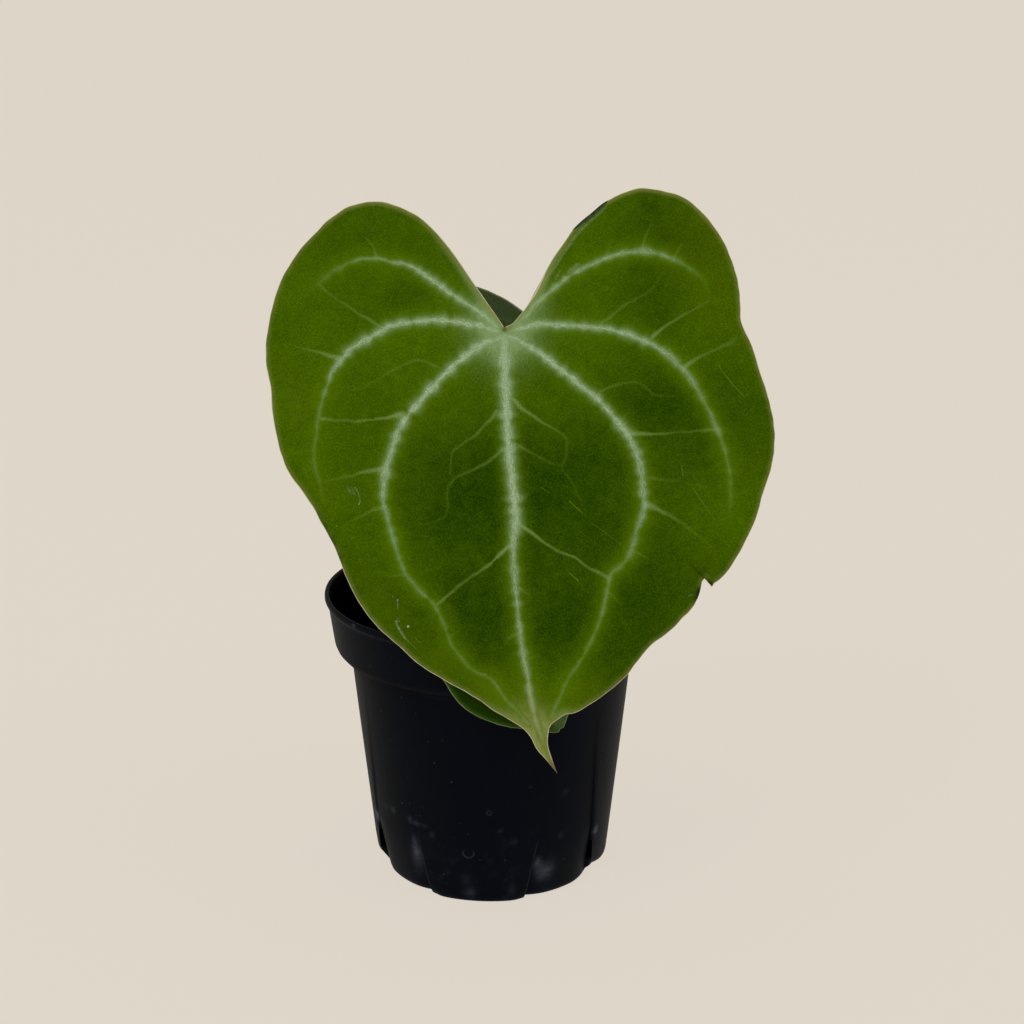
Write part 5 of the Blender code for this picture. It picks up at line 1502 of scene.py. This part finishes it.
# The stem: a ring stands out over each scar by bulge * e^-(d / 0.7)^2 and sinks in at it by scarDepth.
def makeCrown():
    top, foot, sides = crown["top"], crown["foot"], crown["sides"]
    heights = np.concatenate([[top], np.linspace(top, 64.0, 60), [50.0, foot, foot]])
    angle = ringAngles(sides)
    scarred = np.zeros(len(heights))
    radius = np.full(len(heights), crown["radius"] - crown["inset"])
    for height in crown["scars"]:
        above = heights - height
        scarred += bell(above, 0.45)
        radius += crown["bulge"] * bell(above - 0.6, 0.7) - crown["scarDepth"] * bell(above, 0.35)
    radius[0] = radius[-1] = 0.0
    radius[1:3] = crown["radius"] - np.array(crown["topInsets"])
    column = np.repeat(heights[:, None], sides, axis=1)
    around = np.broadcast_arrays(np.cos(angle) * crown["radius"], np.sin(angle) * crown["radius"], column)
    lumpy = crown["lump"] * lumps(np.stack(around, axis=-1), crown["lumpSize"], crown["seed"])
    lumpy[0] = lumpy[-1] = 0.0
    wide = np.minimum(radius[:, None] + lumpy, crown["radius"])
    points = np.stack([wide * np.cos(angle), wide * np.sin(angle), column], axis=-1)
    mesh = gridMesh("crownStem", points[:, ::-1], {"scar": np.minimum(scarred, 1.0)[:, None]})
    dress("crownStem", mesh, crownMaterial(), "crown", "stem")


sheath = {
    "count": 3, "foot": 72.5, "height": 21.0,
    "shorter": 0.16,            # share of the height by which each next one is lower
    "first": 75.0, "spread": 42.0,      # degrees to the first one's middle, and from there to its edge
    "radius": 7.9, "flare": 3.2, "thickness": 0.32, "wave": 0.4, "waveSize": 5.0, "seed": 30,
    "pale": (150, 118, 78), "dark": (82, 56, 34),
}


# Papery brown with long fibres that run up it.
def sheathMaterial():
    recipe = Recipe("dry_papery_sheath")
    across, up, number = recipe.attribute("fibre")
    fibre = recipe.swing(recipe.vector(across * 0.02, up * 0.002, number), 0.6, 4.0, 0.7)
    mottle = recipe.swing(recipe.place(), 2.5, 4.0, 0.65)
    colour = recipe.blend(fibre * 1.7 + 0.45 + mottle, sheath["dark"], sheath["pale"])
    return recipe.finish(colour, 0.8 + mottle * 0.2, fibre * 0.35 + mottle * 0.2, 0.2)


# A sheath is a piece of a widening tube that narrows to a point: the angle runs over spread * (1 - 0.93
# h^2.2) to both sides and the radius grows by flare * h^2. The grid runs up its outside, over the edge and
# down its inside.
def makeSheath(number, material):
    share = np.linspace(0.0, 1.0, 40)[:, None]
    across = np.linspace(-1.0, 1.0, 31)[None, :]
    height = sheath["height"] * (1.0 - sheath["shorter"] * number)
    middle = math.radians(sheath["first"] + number * 360.0 / sheath["count"])
    angle = middle + math.radians(sheath["spread"]) * (1.0 - 0.93 * share ** 2.2) * across
    spots = np.stack(np.broadcast_arrays(across * 9.0, share * 20.0), axis=-1)
    ragged = 0.25 * lumps(spots, sheath["waveSize"], sheath["seed"] + number)
    thickness = sheath["thickness"] * (1.0 - 0.6 * np.abs(across) ** 6) * (1.0 - 0.5 * share ** 4)
    radius = sheath["radius"] + sheath["flare"] * share ** 2 + sheath["wave"] * ragged * share
    z = sheath["foot"] + height * share + 0.0 * across
    outer, inner = (np.stack([wide * np.cos(angle), wide * np.sin(angle), z], axis=-1)
                    for wide in (radius + thickness, radius - thickness))
    points = np.concatenate([outer, inner[:, ::-1]], axis=1)
    fibre = np.stack(np.broadcast_arrays(across, share * height / 8.0, np.float64(number)), axis=-1)
    fibre = np.concatenate([fibre, fibre[:, ::-1]], axis=1)
    bottom, top = (np.repeat(ring.mean(axis=1, keepdims=True), points.shape[1], axis=1)
                   for ring in (points[:1], points[-1:]))
    points = np.concatenate([bottom, points, top])
    fibre = np.concatenate([fibre[:1], fibre, fibre[-1:]])
    name = f"drySheath{number + 1}"
    mesh = gridMesh(name, points, {"fibre": fibre})
    dress(name, mesh, material, "dry_sheath", f"sheath_{number + 1}")


# Dull pale brown, mottled.
def rootMaterial():
    recipe = Recipe("aerial_root")
    mottle = recipe.swing(recipe.place(), 1.2, 4.0, 0.65)
    colour = recipe.blend(mottle * 1.6 + 0.5, crown["brown"], crown["rootColour"])
    return recipe.finish(colour, 0.75 + mottle * 0.2, mottle * 0.3, 0.2)


# A root's radius is the plain one * (1 + 0.08 * soft lumps).
def makeRoot(number, route, material):
    path = smoothLine(route, crown["rootSpacing"])
    radius = crown["rootRadius"] * (1.0 + 0.08 * lumps(path, 3.0, 40 + number))
    name = f"aerialRoot{number + 1}"
    points = tube(path, radius[:, None], crown["rootSides"], (0.0, 0.0, 1.0))
    dress(name, gridMesh(name, points), material, "crown")


makeCrown()
papery = sheathMaterial()
for sheathNumber in range(sheath["count"]):
    makeSheath(sheathNumber, papery)
rootSkin = rootMaterial()
for rootNumber, rootRoute in enumerate(crown["roots"]):
    makeRoot(rootNumber, rootRoute, rootSkin)
print("stage 8: crown made")
